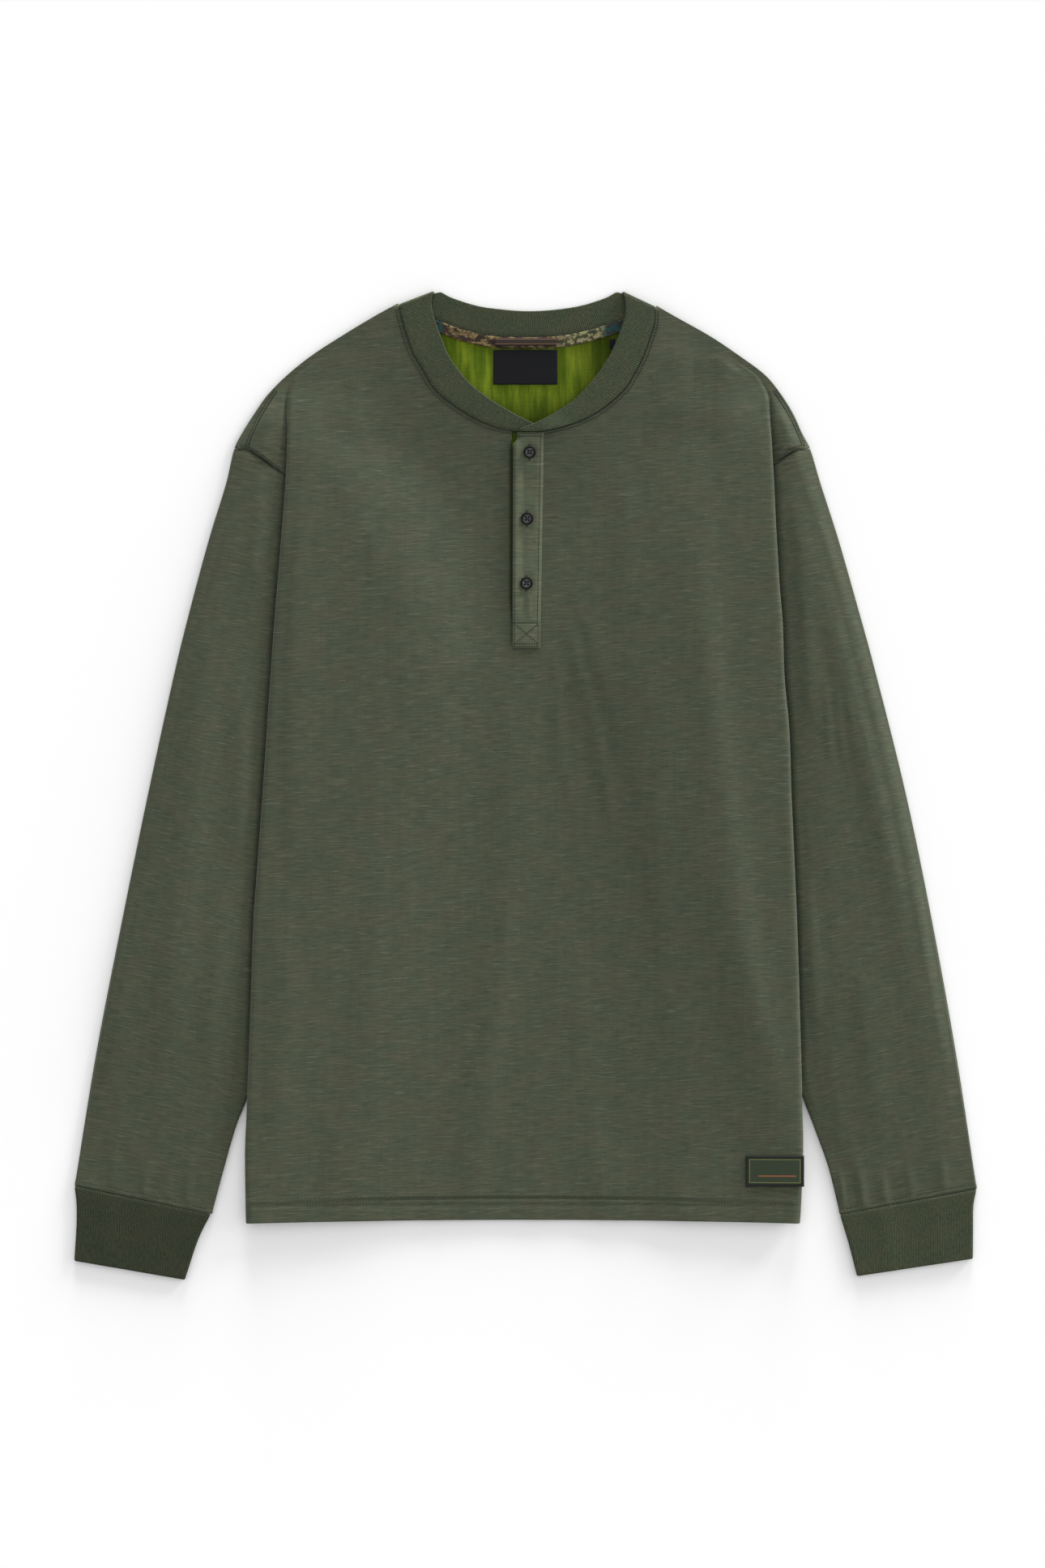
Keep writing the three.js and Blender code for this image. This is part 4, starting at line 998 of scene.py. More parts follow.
def line_band(look, across, along, x_range, y, width):
    """A short straight line across a label."""
    middle = (x_range[0] + x_range[1]) / 2
    half = (x_range[1] - x_range[0]) / 2
    past = look.math("SUBTRACT", look.math("ABSOLUTE", look.math("SUBTRACT", across, middle)), half)
    off = look.math("ABSOLUTE", look.math("SUBTRACT", along, y))
    on_line = look.between(off, width / 2, width / 2 + 0.2, 1, 0)
    return look.math("MULTIPLY", on_line, look.between(past, 0, 0.3, 1, 0))


def satin(look, pitch):
    """The fine diagonal of a damask label."""
    across, along = look.axes(look.cloth(pitch, pitch))
    return look.wave(look.math("ADD", across, along))


def label_look():
    look = Look("label", roughness=0.8, specular=0.08)
    weave = satin(look, 0.45)
    look.color(look.shade(look.blend(0.0, (0.0082, 0.0084, 0.0102), (0, 0, 0)), weave, 0.3))
    look.bump(weave, 0.1, 0.4)
    return look.material


def strip_look():
    """A dark woven strip between two thin warm lines."""
    look = Look("strip", roughness=0.7)
    across, along = look.axes(look.cloth(1, 1))
    ground = look.shade(look.blend(0.0, (0.020, 0.017, 0.012), (0, 0, 0)), satin(look, 0.45), 0.3)
    ends = (STRIP_LABEL["left"] - 1, STRIP_LABEL["right"] + 1)
    for y in STRIP_LINES:
        band = line_band(look, across, along, ends, y, 0.3)
        ground = look.blend(band, ground, (0.15, 0.062, 0.040))
    look.color(ground)
    look.bump(satin(look, 0.45), 0.1, 0.4)
    return look.material


def patch_look():
    """A dark woven patch with a thin frame and one warm line."""
    look = Look("patch", roughness=0.75)
    across, along = look.axes(look.cloth(1, 1))
    centre = ((HEM_PATCH["inner"] + HEM_PATCH["outer"]) / 2, (HEM_PATCH["bottom"] + HEM_PATCH["top"]) / 2)
    half = ((HEM_PATCH["outer"] - HEM_PATCH["inner"]) / 2, (HEM_PATCH["top"] - HEM_PATCH["bottom"]) / 2)
    weave = satin(look, 0.55)
    border = look.shade(look.blend(0.0, (0.010, 0.013, 0.009), (0, 0, 0)), weave, 0.35)
    field = look.shade(look.blend(0.0, (0.026, 0.036, 0.020), (0, 0, 0)), weave, 0.35)
    from_x = look.math("SUBTRACT", half[0], look.math("ABSOLUTE", look.math("SUBTRACT", across, centre[0])))
    from_y = look.math("SUBTRACT", half[1], look.math("ABSOLUTE", look.math("SUBTRACT", along, centre[1])))
    inner = look.between(look.math("MINIMUM", from_x, from_y), PATCH_FRAME_INSET, PATCH_FRAME_INSET + 0.3)
    ground = look.blend(inner, border, field)
    frame_line = frame_band(look, across, along, centre, half, PATCH_FRAME_INSET, 0.6)
    ground = look.blend(frame_line, ground, (0.105, 0.125, 0.045))
    warm = line_band(look, across, along, PATCH_LINE["x"], PATCH_LINE["y"], 0.7)
    look.color(look.blend(warm, ground, (0.24, 0.085, 0.035)))
    look.bump(weave, 0.15, 0.5)
    return look.material


def thread_look(name, color):
    look = Look(name, roughness=0.7, sheen=0.1)
    twist = look.noise(look.add("TexCoord").outputs["Object"], detail=2)
    look.color(look.shade(look.blend(0.0, color, color), twist, 0.3))
    return look.material


def button_look():
    """Dark grey horn-like plastic, paler on its face than on its near-black rim, with painted shade in its four sunk
    holes.
    """
    look = Look("button", roughness=0.45, specular=0.12)
    place = look.add("TexCoord").outputs["Object"]
    grain = look.noise(look.add("VectorMath", {0: place, 1: (900, 500, 900)}, operation="MULTIPLY").outputs[0], detail=4)
    face = look.blend(look.between(grain, 0.35, 0.65), (0.066, 0.066, 0.067), (0.118, 0.118, 0.116))
    radius, sunk = look.axes(look.cloth(1, 1))
    rim = look.between(radius, BUTTON["face"] - 0.3, BUTTON["face"] + 0.1)
    # Near-black on the rim, and painted shade in the sunk holes.
    black_rim_and_hole_shade = look.math("MAXIMUM", rim, look.between(sunk, 0.2, 0.7))
    look.color(look.blend(black_rim_and_hole_shade, face, (0.0035, 0.0035, 0.004)))
    look.bump(grain, 0.05, 0.3)
    return look.material


STRIP_LINES = (342.6, 346.2)
PATCH_FRAME_INSET = 3.0
PATCH_LINE = {"x": (181, 210), "y": -303.4}
JERSEY = jersey_look("jersey")
PLACKET_JERSEY = jersey_look("placket_jersey", lightness=1.34)
INSIDE = inside_look("inside")
# The underlay's colour below the level is painted shade for the gap beside the flap.
UNDERLAY_LOOK = inside_look("underlay", shade_painted_below=264)
RIB_KNIT = rib_look("rib", 1.05)
# The left cuff's rib is a darker copy of the right's: painted shade for the side away from the light.
CUFF_LOOKS = {"left": rib_look("rib_cuff_left_painted_shade", 0.72), "right": rib_look("rib_cuff_right", 1.05)}
TAPE_LOOK = tape_look()
LABEL_LOOK = label_look()
STRIP_LOOK = strip_look()
PATCH_LOOK = patch_look()
BUTTON_LOOK = button_look()
DARK_THREAD = thread_look("dark_thread", (0.0085, 0.0110, 0.0055))
SEAM_THREAD = thread_look("seam_thread", (0.032, 0.040, 0.022))
RUST_THREAD = thread_look("rust_thread", (0.070, 0.030, 0.018))


# Pieces

def front_rows():
    return levels(
        [HEM_Y, HEM_Y + 1.5, HEM_SEAM_Y + 5, ARMPIT_Y, SLIT_END_Y, 235, SHOULDER_Y, NECK_FRONT_Y,
         280, FOLD_START_Y, TIP_Y],
        [0.5, 1.6, 3.6, 3.4, 3.6, 2.4, 2.1, 0.6, 2.1, 3.2],
    )


def back_rows():
    return levels(
        [HEM_Y, HEM_Y + 1.5, HEM_SEAM_Y + 5, ARMPIT_Y, SLIT_END_Y, 235, SHOULDER_Y, FOLD_START_Y,
         NECK_BACK_Y, 352, TIP_Y],
        [0.5, 2.5, 5, 4, 4, 3, 2.4, 3, 0.7, 2.4],
    )


def lift_front(points, normals):
    """Raises the front over the neck's hump and in its creases, and leaves what is folded under as it is."""
    x, y = points[..., 0].copy(), points[..., 1].copy()
    up = normals[..., 2] > FACES_UP
    from_side = np.minimum(np.arange(x.shape[1]), x.shape[1] - 1 - np.arange(x.shape[1]))
    top = from_side >= SIDE_COLUMNS - COLUMNS["top"]
    crease = np.where(top[None, :] | (y > FOLD_START_Y), front_crease(x, y), cap_crease(x, y))
    points[..., 2] += np.where(up, neck_hump(x, y) + crease, 0)
    return top


def front():
    rows = front_rows()
    points, normals, cloth = body_sheet(rows, front_inner)
    top = lift_front(points, normals)
    y = points[..., 1]
    edge = edge_round(y - HEM_Y - hem_edge_rise(points[..., 0], y), CLOTH / 2)
    far = NEAR + (CLOTH + np.where(top[None, :], hem_welt(y), 0)) * (0.4 + 0.6 * edge)
    shape = wall(points, normals, NEAR, far, body_cells(rows, SLIT_END_Y), coords=cloth)
    made = piece("front_panel", shape, [JERSEY, INSIDE], "front")
    return made


def back():
    rows = back_rows()
    points, normals, cloth = body_sheet(rows, back_inner)
    x, y = points[..., 0], points[..., 1]
    top = normals[..., 2] > FACES_UP
    points[..., 2] += np.where(top, crease_lift(NECK_CREASES, x, y), 0)
    shape = wall(points, normals, -FAR, -NEAR, body_cells(rows, NECK_BACK_Y), coords=cloth)
    vertices, quads, marks, corners = shape
    # The wall's far face is the inner one here
    faces = len(quads)
    is_far = np.zeros(faces, bool)
    count = int((marks == 1).sum())
    is_far[:count] = True
    marks = np.where(is_far, 1, 0)
    made = piece("back_panel", (vertices, quads, marks, corners), [JERSEY, INSIDE], "back")
    return made


def sleeve_place(side, along, level):
    """The place across a sleeve: along the armhole at its top, straight across further down."""
    start_y = SHOULDER_Y - SEAM_GAP
    end_y = UNDERARM_EDGE[0]["y"]
    cuff_row = CUFF[side][0]
    out_y = mix(SHOULDER_Y - CORNER_GAP, cuff_row["outY"] + SEAM_GAP, along)
    in_y = mix(end_y, cuff_row["inY"] + SEAM_GAP, along)
    share = (start_y - level) / (start_y - end_y)
    y = mix(out_y, in_y, share)
    out_u = outer_edge(side, out_y)
    in_u = track(UNDERARM_EDGE, "y", side, in_y)
    top_u = mix(outer_edge(side, start_y), UNDERARM_EDGE[0][side], share)
    seam_u = np.minimum(outer_edge(side, start_y), armhole_edge(side, level + SEAM_GAP) + SEAM_GAP)
    bow = (seam_u - top_u) * (1 - along) ** SEAM_BOW_FADE * smooth(share * OUTER_CORNER)
    return mix(out_u, in_u, share) + bow, y


def sleeve_puff(side, u, y, along):
    """The visible part of a sleeve stands up softly between the body's fold and its outer edge."""
    from_body = smooth((u - fold_edge(side, y) - PUFF_CLEAR) / PUFF_REACH)
    from_outer = smooth((outer_edge(side, y) - u) / PUFF_REACH)
    from_under = smooth((u - track(UNDERARM_EDGE, "y", side, y)) / PUFF_REACH)
    ends = smooth(along * PUFF_ENDS["top"]) * smooth((1 - along) * PUFF_ENDS["cuff"])
    return SLEEVE_PUFF * from_body * from_outer * from_under * ends


def sleeve_lip(side, u, y, along):
    """The sleeve's rise beside the body's fold, as far as the body lies on it."""
    room = smooth((outer_edge(side, y) - u) / 12) * smooth((u - track(UNDERARM_EDGE, "y", side, y)) / 8)
    return fold_lip(u - fold_edge(side, y)) * room * smooth((y + 300) / 180) * smooth(along * 60 + 0.6)


def sleeve_crease(side, u, y, along):
    """The lift of a sleeve's creases, which die away at its edges, under the body and at its seams."""
    from_body = smooth((u - fold_edge(side, y) - 1) / 6)
    from_outer = smooth((outer_edge(side, y) - u) / 8)
    from_under = smooth((u - track(UNDERARM_EDGE, "y", side, y)) / 8)
    ends = smooth(along * 40) * smooth((1 - along) * 70)
    lift = SLEEVE_CREASE_SHARE * crease_lift(SLEEVE_CREASES, sign_of(side) * u, y)
    return lift * from_body * from_outer * from_under * ends


def flat_tube(x, y, lift, thick, gap, edge_steps):
    """Rings of a flat tube: a top run, a round edge, a bottom run and a round edge.
    x, y and lift have a row a station and a column a place across."""
    half = (thick + gap) / 2
    middle = thick + gap / 2
    inset = half + thick / 2
    dx = x[:, -1:] - x[:, :1]
    dy = y[:, -1:] - y[:, :1]
    length = np.hypot(dx, dy)
    dx, dy = dx / length, dy / length
    distance = (x - x[:, :1]) * dx + (y - y[:, :1]) * dy
    held = np.clip(distance, inset, length - inset)
    run_x = x + (held - distance) * dx
    run_y = y + (held - distance) * dy
    top = np.stack([run_x, run_y, middle + half + lift], axis=-1)
    bottom = np.stack([run_x, run_y, np.full_like(x, middle - half)], axis=-1)

    def edge(ring, way):
        angle = math.pi * np.arange(1, edge_steps)[None, :] / edge_steps
        reach = way * half * np.sin(angle)
        z = middle + way * half * np.cos(angle)
        return np.stack([ring[:, :1, 0] + reach * dx, ring[:, :1, 1] + reach * dy, z + 0 * dx], axis=-1)

    far_edge = edge(top[:, -1:], 1)
    near_edge = edge(top[:, :1], -1)
    return np.concatenate([top, far_edge, bottom[:, ::-1], near_edge], axis=1)


def tube_coords(points, along):
    """Cloth coordinates round a tube, with one more column than it has points, and down its length."""
    ring = np.concatenate([points, points[:, :1]], axis=1)
    steps = np.linalg.norm(np.diff(ring, axis=1), axis=-1)
    around = np.concatenate([np.zeros((len(points), 1)), np.cumsum(steps, axis=1)], axis=1)
    down = np.broadcast_to(np.reshape(along, (-1, 1)), around.shape)
    return np.stack([around, down], axis=-1)


def tube_wall(points, thick, coords, outer):
    """A tube's rings are turned so that their outside faces outward on either side.
    Its outer half thickness has a value for each ring."""
    normals = grid_normals(points, closed=True)
    if normals[len(points) // 2, points.shape[1] // 5, 2] < 0:
        points, coords, outer = points[::-1], coords[::-1], outer[::-1]
        normals = grid_normals(points, closed=True)
    return wall(points, normals, -thick / 2, outer[:, None], closed=True, coords=coords)


SLEEVE_LENGTH = 595
SLEEVE_AXIS = {"x": 0.187, "y": -0.982}
SLEEVE_WELT = {"height": 0.28, "middle": 2.4, "half_width": 1.6}
SLEEVE_ALONG = levels([0, 0.012, 0.98, 1], [0.003, 0.0068, 0.0012])


def sleeve(side):
    rows = levels([UNDERARM_EDGE[0]["y"], 235, SHOULDER_Y - SEAM_GAP], [1.9, 1.2])[::-1][None, :]
    along = SLEEVE_ALONG[:, None]
    u, y = sleeve_place(side, along, rows)
    lift = sleeve_puff(side, u, y, along) + sleeve_crease(side, u, y, along) + sleeve_lip(side, u, y, along)
    points = flat_tube(sign_of(side) * u, y, lift, CLOTH, LAYER_GAP, 8)
    coords = tube_coords(points, 0 * along)
    ring = np.concatenate([points, points[:, :1]], axis=1)
    axis = np.array([sign_of(side) * SLEEVE_AXIS["x"], SLEEVE_AXIS["y"]])
    coords[..., 1] = -(ring[..., :2] @ axis)
    from_cuff = (1 - SLEEVE_ALONG) * SLEEVE_LENGTH
    from_top = SLEEVE_ALONG * SLEEVE_LENGTH
    welt = np.exp(-(((from_cuff - SLEEVE_WELT["middle"]) / SLEEVE_WELT["half_width"]) ** 2))
    ends = 0.6 + 0.4 * edge_round(from_top, CLOTH)
    outer = CLOTH / 2 * ends + SLEEVE_WELT["height"] * welt
    shape = tube_wall(points, CLOTH, coords, outer)
    made = piece("sleeve_" + side + "_cloth", shape, [JERSEY, INSIDE], "sleeve_" + side)
    return made


CUFF_ACROSS = 60
CUFF_LENGTH = 56


def cuff(side):
    marks = [{**row, "mark": mark} for mark, row in enumerate(CUFF[side])]
    mark = levels([0, 0.3, 2.93, len(marks) - 1], [0.04, 0.09, 0.014])
    out_u, out_y, in_u, in_y = (track(marks, "mark", key, mark)[:, None] for key in ("outU", "outY", "inU", "inY"))
    share = np.linspace(0, 1, CUFF_ACROSS)[None, :]
    x = sign_of(side) * mix(out_u, in_u, share)
    y = mix(out_y, in_y, share)
    room = smooth(share * 7) * smooth((1 - share) * 7)
    points = flat_tube(x, y, crease_lift(CUFF_CREASES, x, y) * room, CUFF_WALL, LAYER_GAP, 8)
    coords = tube_coords(points, -mark * 20)
    from_seam = mark / mark[-1] * CUFF_LENGTH
    outer = CUFF_WALL / 2 * (0.5 + 0.5 * smooth(from_seam / 3)) * edge_round(CUFF_LENGTH - from_seam, 1)
    shape = tube_wall(points, CUFF_WALL, coords, outer)
    look = CUFF_LOOKS[side]
    made = piece("cuff_" + side + "_rib", shape, [look, look], "cuff_" + side)
    return made


COLLAR_STATIONS = {"front": 90, "back": 90, "turn": 14}
COLLAR_EDGE = 0.7
COLLAR_SHARES = levels([0, 0.08, 0.9, 1], [0.02, 0.09, 0.012])


def collar_pairs(rows, count):
    marks = [{**row, "mark": mark} for mark, row in enumerate(rows)]
    mark = np.linspace(0, len(rows) - 1, count)
    seam = np.stack([track(marks, "mark", key, mark) for key in ("seamX", "seamY")], axis=-1)
    free = np.stack([track(marks, "mark", key, mark) for key in ("freeX", "freeY")], axis=-1)
    return seam, free


def collar_front_z(seam):
    return PAIR_Z + PAIR_HALF + neck_hump(seam[..., 0], seam[..., 1])


def collar_rows(seam, free, z):
    """Rows of collar points from the seam to the free edge."""
    inward = free - seam
    inward = inward / np.linalg.norm(inward, axis=-1, keepdims=True)
    start = seam + inward * SEAM_GAP
    places = start[:, None, :] + (free - start)[:, None, :] * COLLAR_SHARES[None, :, None]
    height = np.broadcast_to(np.reshape(z, (-1, 1, 1)), (*places.shape[:2], 1))
    return np.concatenate([places, height], axis=-1)


def collar_turn(seam, free, top_z, bottom_z, side):
    """The band turns round the neck point from the front, above, to the back, below."""
    along = (free - seam) / np.linalg.norm(free - seam)
    out = np.array([-along[1], along[0]]) * (1 if side == "left" else -1)
    radius = (top_z - bottom_z) / 2
    angle = math.pi * np.arange(1, COLLAR_STATIONS["turn"]) / COLLAR_STATIONS["turn"]
    reach = radius * np.sin(angle)[:, None]
    seam_end = seam + TURN_AT_SEAM * reach * out
    free_end = free + reach * np.array(TURN_FREE_WAY[side])
    return collar_rows(seam_end, free_end, bottom_z + radius * (1 + np.cos(angle)))


def round_corner(points, turn_row):
    """Carries the free edge out beside a turn of the band, so that the neck point is round."""
    edge = points[:, -1]
    run = np.concatenate([[0], np.cumsum(np.linalg.norm(np.diff(edge, axis=0), axis=-1))])
    more = CORNER["height"] * np.exp(-(((run - run[turn_row]) / CORNER["reach"]) ** 2))
    width = np.linalg.norm(points[:, -1] - points[:, 0], axis=-1)
    share = (1 + more / width)[:, None, None]
    return points[:, :1] + (points - points[:, :1]) * share


def collar():
    back_z = RIB / 2
    left_seam, left_free = collar_pairs(COLLAR_FRONT_LEFT, COLLAR_STATIONS["front"])
    right_seam, right_free = collar_pairs(COLLAR_FRONT_RIGHT, COLLAR_STATIONS["front"])
    back_seam, back_free = collar_pairs(COLLAR_BACK, COLLAR_STATIONS["back"])
    left_z = collar_front_z(left_seam)
    right_z = collar_front_z(right_seam)
    overlap = (RIB + REST_GAP) * smooth((END_OVERLAP_X + END_RAMP - right_seam[:, 0]) / END_RAMP)
    points = np.concatenate([
        collar_rows(left_seam, left_free, left_z),
        collar_turn(left_seam[-1], left_free[-1], left_z[-1], back_z, "left"),
        collar_rows(back_seam, back_free, np.full(len(back_seam), back_z)),
        collar_turn(right_seam[0], right_free[0], right_z[0], back_z, "right")[::-1],
        collar_rows(right_seam, right_free, right_z + overlap),
    ])
    turn_end = COLLAR_STATIONS["front"] + COLLAR_STATIONS["turn"] - 1
    points = round_corner(points, turn_end)
    points = round_corner(points, len(points) - 1 - turn_end)
    middle = points[:, points.shape[1] // 2]
    run = np.concatenate([[0], np.cumsum(np.linalg.norm(np.diff(middle, axis=0), axis=-1))])
    width = np.linalg.norm(points[:, -1] - points[:, 0], axis=-1)
    coords = np.stack([
        np.broadcast_to(run[:, None], points.shape[:2]),
        width[:, None] * COLLAR_SHARES[None, :],
    ], axis=-1)
    half = RIB / 2
    distance = np.minimum(width[:, None] * (1 - COLLAR_SHARES)[None, :], 2 * half)
    from_seam = width[:, None] * COLLAR_SHARES[None, :]
    thick = half * edge_round(distance, COLLAR_EDGE) * (0.8 + 0.2 * smooth(from_seam / 2.2))
    shape = wall(points, grid_normals(points), -thick, thick, coords=coords)
    made = piece("collar_band", shape, [RIB_KNIT, RIB_KNIT], "collar")
    return made


def on_front(rows, left, right, columns, lift):
    """A grid that lies on the front near the middle, between two edges given at each row."""
    share = np.linspace(0, 1, columns + 1)[None, :]
    x = mix(left[:, None], right[:, None], share)
    y = np.broadcast_to(rows[:, None], x.shape)
    return np.stack([x, y, front_skin(x, y) - CLOTH / 2 + lift], axis=-1)


def sheet_wall(points, thick):
    coords = points[..., :2]
    return wall(points, grid_normals(points), -thick / 2, thick / 2, coords=coords)


FLAP_COLUMNS = 46
FLAP_ROWS_AT = {"box_top": 125.7, "box_low": 109.2, "foot": 107.3, "high": 272.8, "below_high": 270.6}
WELT = {"left": 1.3, "right": 2.7}


def flap_edges(y):
    return (track(PLACKET_EDGES, "y", side, y, straight=True) for side in SIDES)


def flap_press(x, y):
    """How far the flap is pressed in along its rows of sewing."""
    left, right = flap_edges(y)
    away = [x - left - WELT["left"], right - WELT["right"] - x]
    away += [y - FLAP_ROWS_AT[row] for row in FLAP_ROWS_AT]
    return 0.26 * np.max([np.exp(-((off / 0.75) ** 2)) for off in away], axis=0)


def flap_ease(x, y):
    """The flap's own small swells between its buttons."""
    swell = np.zeros_like(x)
    for button in BUTTONS:
        off = np.hypot((x - button["x"]) / 7, (y - button["y"]) / 13)
        swell += 0.3 * np.exp(-((off - 1) ** 2) * 5)
    fold = 0.45 * np.exp(-(((x - 2.6) / 2.2) ** 2)) * smooth((152 - y) / 7) * smooth((y - 127) / 7)
    left, right = flap_edges(y)
    lifted = 2.3 * smooth((left + 9 - x) / 9) * smooth((y - 118) / 34) * smooth((270 - y) / 8)
    return swell + fold + lifted


def flap_skin(x, y):
    ease = flap_ease(np.asarray(x, float), np.asarray(y, float))
    return front_skin(x, y) + REST_GAP + PLACKET_THICK + ease


def placket_flap():
    rows = levels(
        [PLACKET_BOTTOM_Y, FLAP_ROWS_AT["box_low"] + 1, FLAP_ROWS_AT["box_top"] - 1.5,
         FLAP_ROWS_AT["box_top"] + 1.5, FLAP_ROWS_AT["below_high"] - 1.2, PLACKET_TOP_Y],
        [0.4, 1.4, 0.4, 1.5, 0.4],
    )
    left, right = flap_edges(rows)
    lift = (CLOTH + PLACKET_THICK) / 2 + REST_GAP
    points = on_front(rows, left, right, FLAP_COLUMNS, lift)
    x, y = points[..., 0], points[..., 1]
    points[..., 2] += flap_ease(x, y) - 0.2 * smooth((x - right[:, None] + WELT["right"]) / WELT["right"])
    edges = np.minimum(np.minimum(x - left[:, None], right[:, None] - x), y - PLACKET_BOTTOM_Y)
    half = PLACKET_THICK / 2
    flatter = 0.75 * smooth((x - right[:, None] + WELT["right"] - 0.4) / 1.3)
    far = half * (2 * edge_round(edges, half) - 1) - flap_press(x, y) - flatter
    shape = wall(points, grid_normals(points), -half, far, coords=points[..., :2])
    made = piece("placket_flap_cloth", shape, [PLACKET_JERSEY, PLACKET_JERSEY], "placket_flap")
    return made


def placket_underlay():
    rows = levels([SLIT_END_Y + SEAM_GAP, PLACKET_TOP_Y], [2.5])
    left = REST_GAP - slit_edge("left", rows)
    right = np.full(len(rows), SLIT["right"] - REST_GAP)
    shape = sheet_wall(on_front(rows, left, right, 10, 0), CLOTH)
    made = piece("placket_underlay_cloth", shape, [UNDERLAY_LOOK] * 2, "placket_underlay")
    return made


def back_seam_y(x):
    return track(COLLAR_BACK, "seamX", "seamY", x)


def neck_tape():
    x = levels([TAPE["left"], TAPE["right"]], [1.5])
    share = np.linspace(0, 1, 9)[:, None]
    y = back_seam_y(x)[None, :] - SEAM_GAP - TAPE["deep"] * (1 - share)
    points = np.stack([np.broadcast_to(x, y.shape), y, np.full_like(y, CLOTH + REST_GAP + TRIM / 2)], axis=-1)
    made = piece("neck_tape_cloth", sheet_wall(points, TRIM), [TAPE_LOOK, TAPE_LOOK], "neck_tape")
    return made


def flat_label(name, area, bottom_z, material, node):
    x = levels([area["left"], area["right"]], [1.0])
    y = levels([area["bottom"], area["top"]], [1.0])
    grid_x, grid_y = np.meshgrid(x, y)
    points = np.stack([grid_x, grid_y, np.full_like(grid_x, bottom_z + TRIM / 2)], axis=-1)
    made = piece(name, sheet_wall(points, TRIM), [material, material], node)
    return made


def labels():
    seat = CLOTH + REST_GAP
    flat_label("strip_label_weave", STRIP_LABEL, seat + TRIM + REST_GAP, STRIP_LOOK, "strip_label")
    flat_label("neck_label_weave", NECK_LABEL, seat, LABEL_LOOK, "neck_label")
    flat_label("size_tab_weave", SIZE_TAB, seat, LABEL_LOOK, "size_tab")


def patch_skin(x, y):
    """The height of the patch's outer face."""
    return top_height("right", x, y) + PAIR_HALF + CLOTH / 2 + TRIM + LAYER_GAP + front_crease(x, y)


def hem_patch():
    u = levels([HEM_PATCH["inner"], HEM_PATCH["outer"]], [0.8])
    y = levels([HEM_PATCH["bottom"], HEM_PATCH["top"]], [0.8])
    grid_u, grid_y = np.meshgrid(u, y)
    points = np.stack([grid_u, grid_y, patch_skin(grid_u, grid_y) - TRIM / 2], axis=-1)
    made = piece("hem_patch_weave", sheet_wall(points, TRIM), [PATCH_LOOK, PATCH_LOOK], "hem_patch")
    return made


# Sewing

THREAD_RINGS = [(0, 0.5, -0.14), (0.2, 1, 0), (0.8, 1, 0), (1, 0.5, -0.14)]
THREAD_CORNERS = [(1, 1), (-1, 1), (-1, -1), (1, -1)]


def threads(name, starts, ends, radius, material):
    """Short sewn threads as one mesh, each a flattened rod that dips into the cloth at both ends."""
    along = ends - starts
    along = along / np.linalg.norm(along, axis=1, keepdims=True)
    side = np.cross(along, [0, 0, 1])
    side = side / np.linalg.norm(side, axis=1, keepdims=True)
    up = np.cross(side, along)
    places = []
    for share, width, dip in THREAD_RINGS:
        centre = mix(starts, ends, share) + [0, 0, dip]
        for right, high in THREAD_CORNERS:
            places.append(centre + radius * width * (0.8 * right * side + 0.6 * high * up))
    vertices = np.stack(places, axis=1).reshape(-1, 3)
    quads = [(0, 1, 2, 3), (15, 14, 13, 12)]
    for ring in range(len(THREAD_RINGS) - 1):
        for corner in range(4):
            near, next_near = 4 * ring + corner, 4 * ring + (corner + 1) % 4
            quads.append((near, near + 4, next_near + 4, next_near))
    every = np.array(quads)[None, :, :] + 16 * np.arange(len(starts))[:, None, None]
    shape = (vertices, every.reshape(-1, 4), np.zeros(len(starts) * len(quads)), None)
    return piece(name, shape, [material], None)


def dashes(path, pitch, share):
    """Starts and ends of equal dashes along a path of (x, y) places."""
    path = np.asarray(path, float)
    run = np.concatenate([[0], np.cumsum(np.hypot(*np.diff(path, axis=0).T))])
    first = np.arange(0, run[-1] - pitch * share, pitch)

    def place(at):
        return np.stack([np.interp(at, run, path[:, 0]), np.interp(at, run, path[:, 1])], axis=-1)

    return place(first), place(first + pitch * share)


def zigzag(x_from, x_to, low, high, pitch):
    """A thread that runs up and down between two levels."""
    x = np.arange(x_from, x_to, pitch / 2)
    y = np.where(np.arange(len(x)) % 2 == 0, low, high)
    places = np.stack([x, y], axis=-1)
    return places[:-1], places[1:]


def sew(name, runs, skin, radius, material):
    """Lays runs of dashes on a surface whose height skin gives."""
    starts = np.concatenate([run[0] for run in runs])
    ends = np.concatenate([run[1] for run in runs])

    def raised(places):
        z = skin(places[:, 0], places[:, 1]) + radius * THREAD_SINK
        return np.column_stack([places, z])

    return threads(name, raised(starts), raised(ends), radius, material)


THREAD_SINK = 0.2


def beside_seam(rows, away):
    """The line on the body beside the collar's seam."""
    seam, free = collar_pairs(rows, 120)
    outward = seam - free
    return seam + away * outward / np.linalg.norm(outward, axis=-1, keepdims=True)


def sew_neck():
    runs = []
    for rows in (COLLAR_FRONT_LEFT[1:], COLLAR_FRONT_RIGHT[:-1]):
        runs.append(dashes(beside_seam(rows, 0.6), 1.7, 0.7))
        runs.append(dashes(beside_seam(rows, 3.0), 2.1, 0.62))
    sew("neck_stitches", runs, front_skin, 0.5, DARK_THREAD)


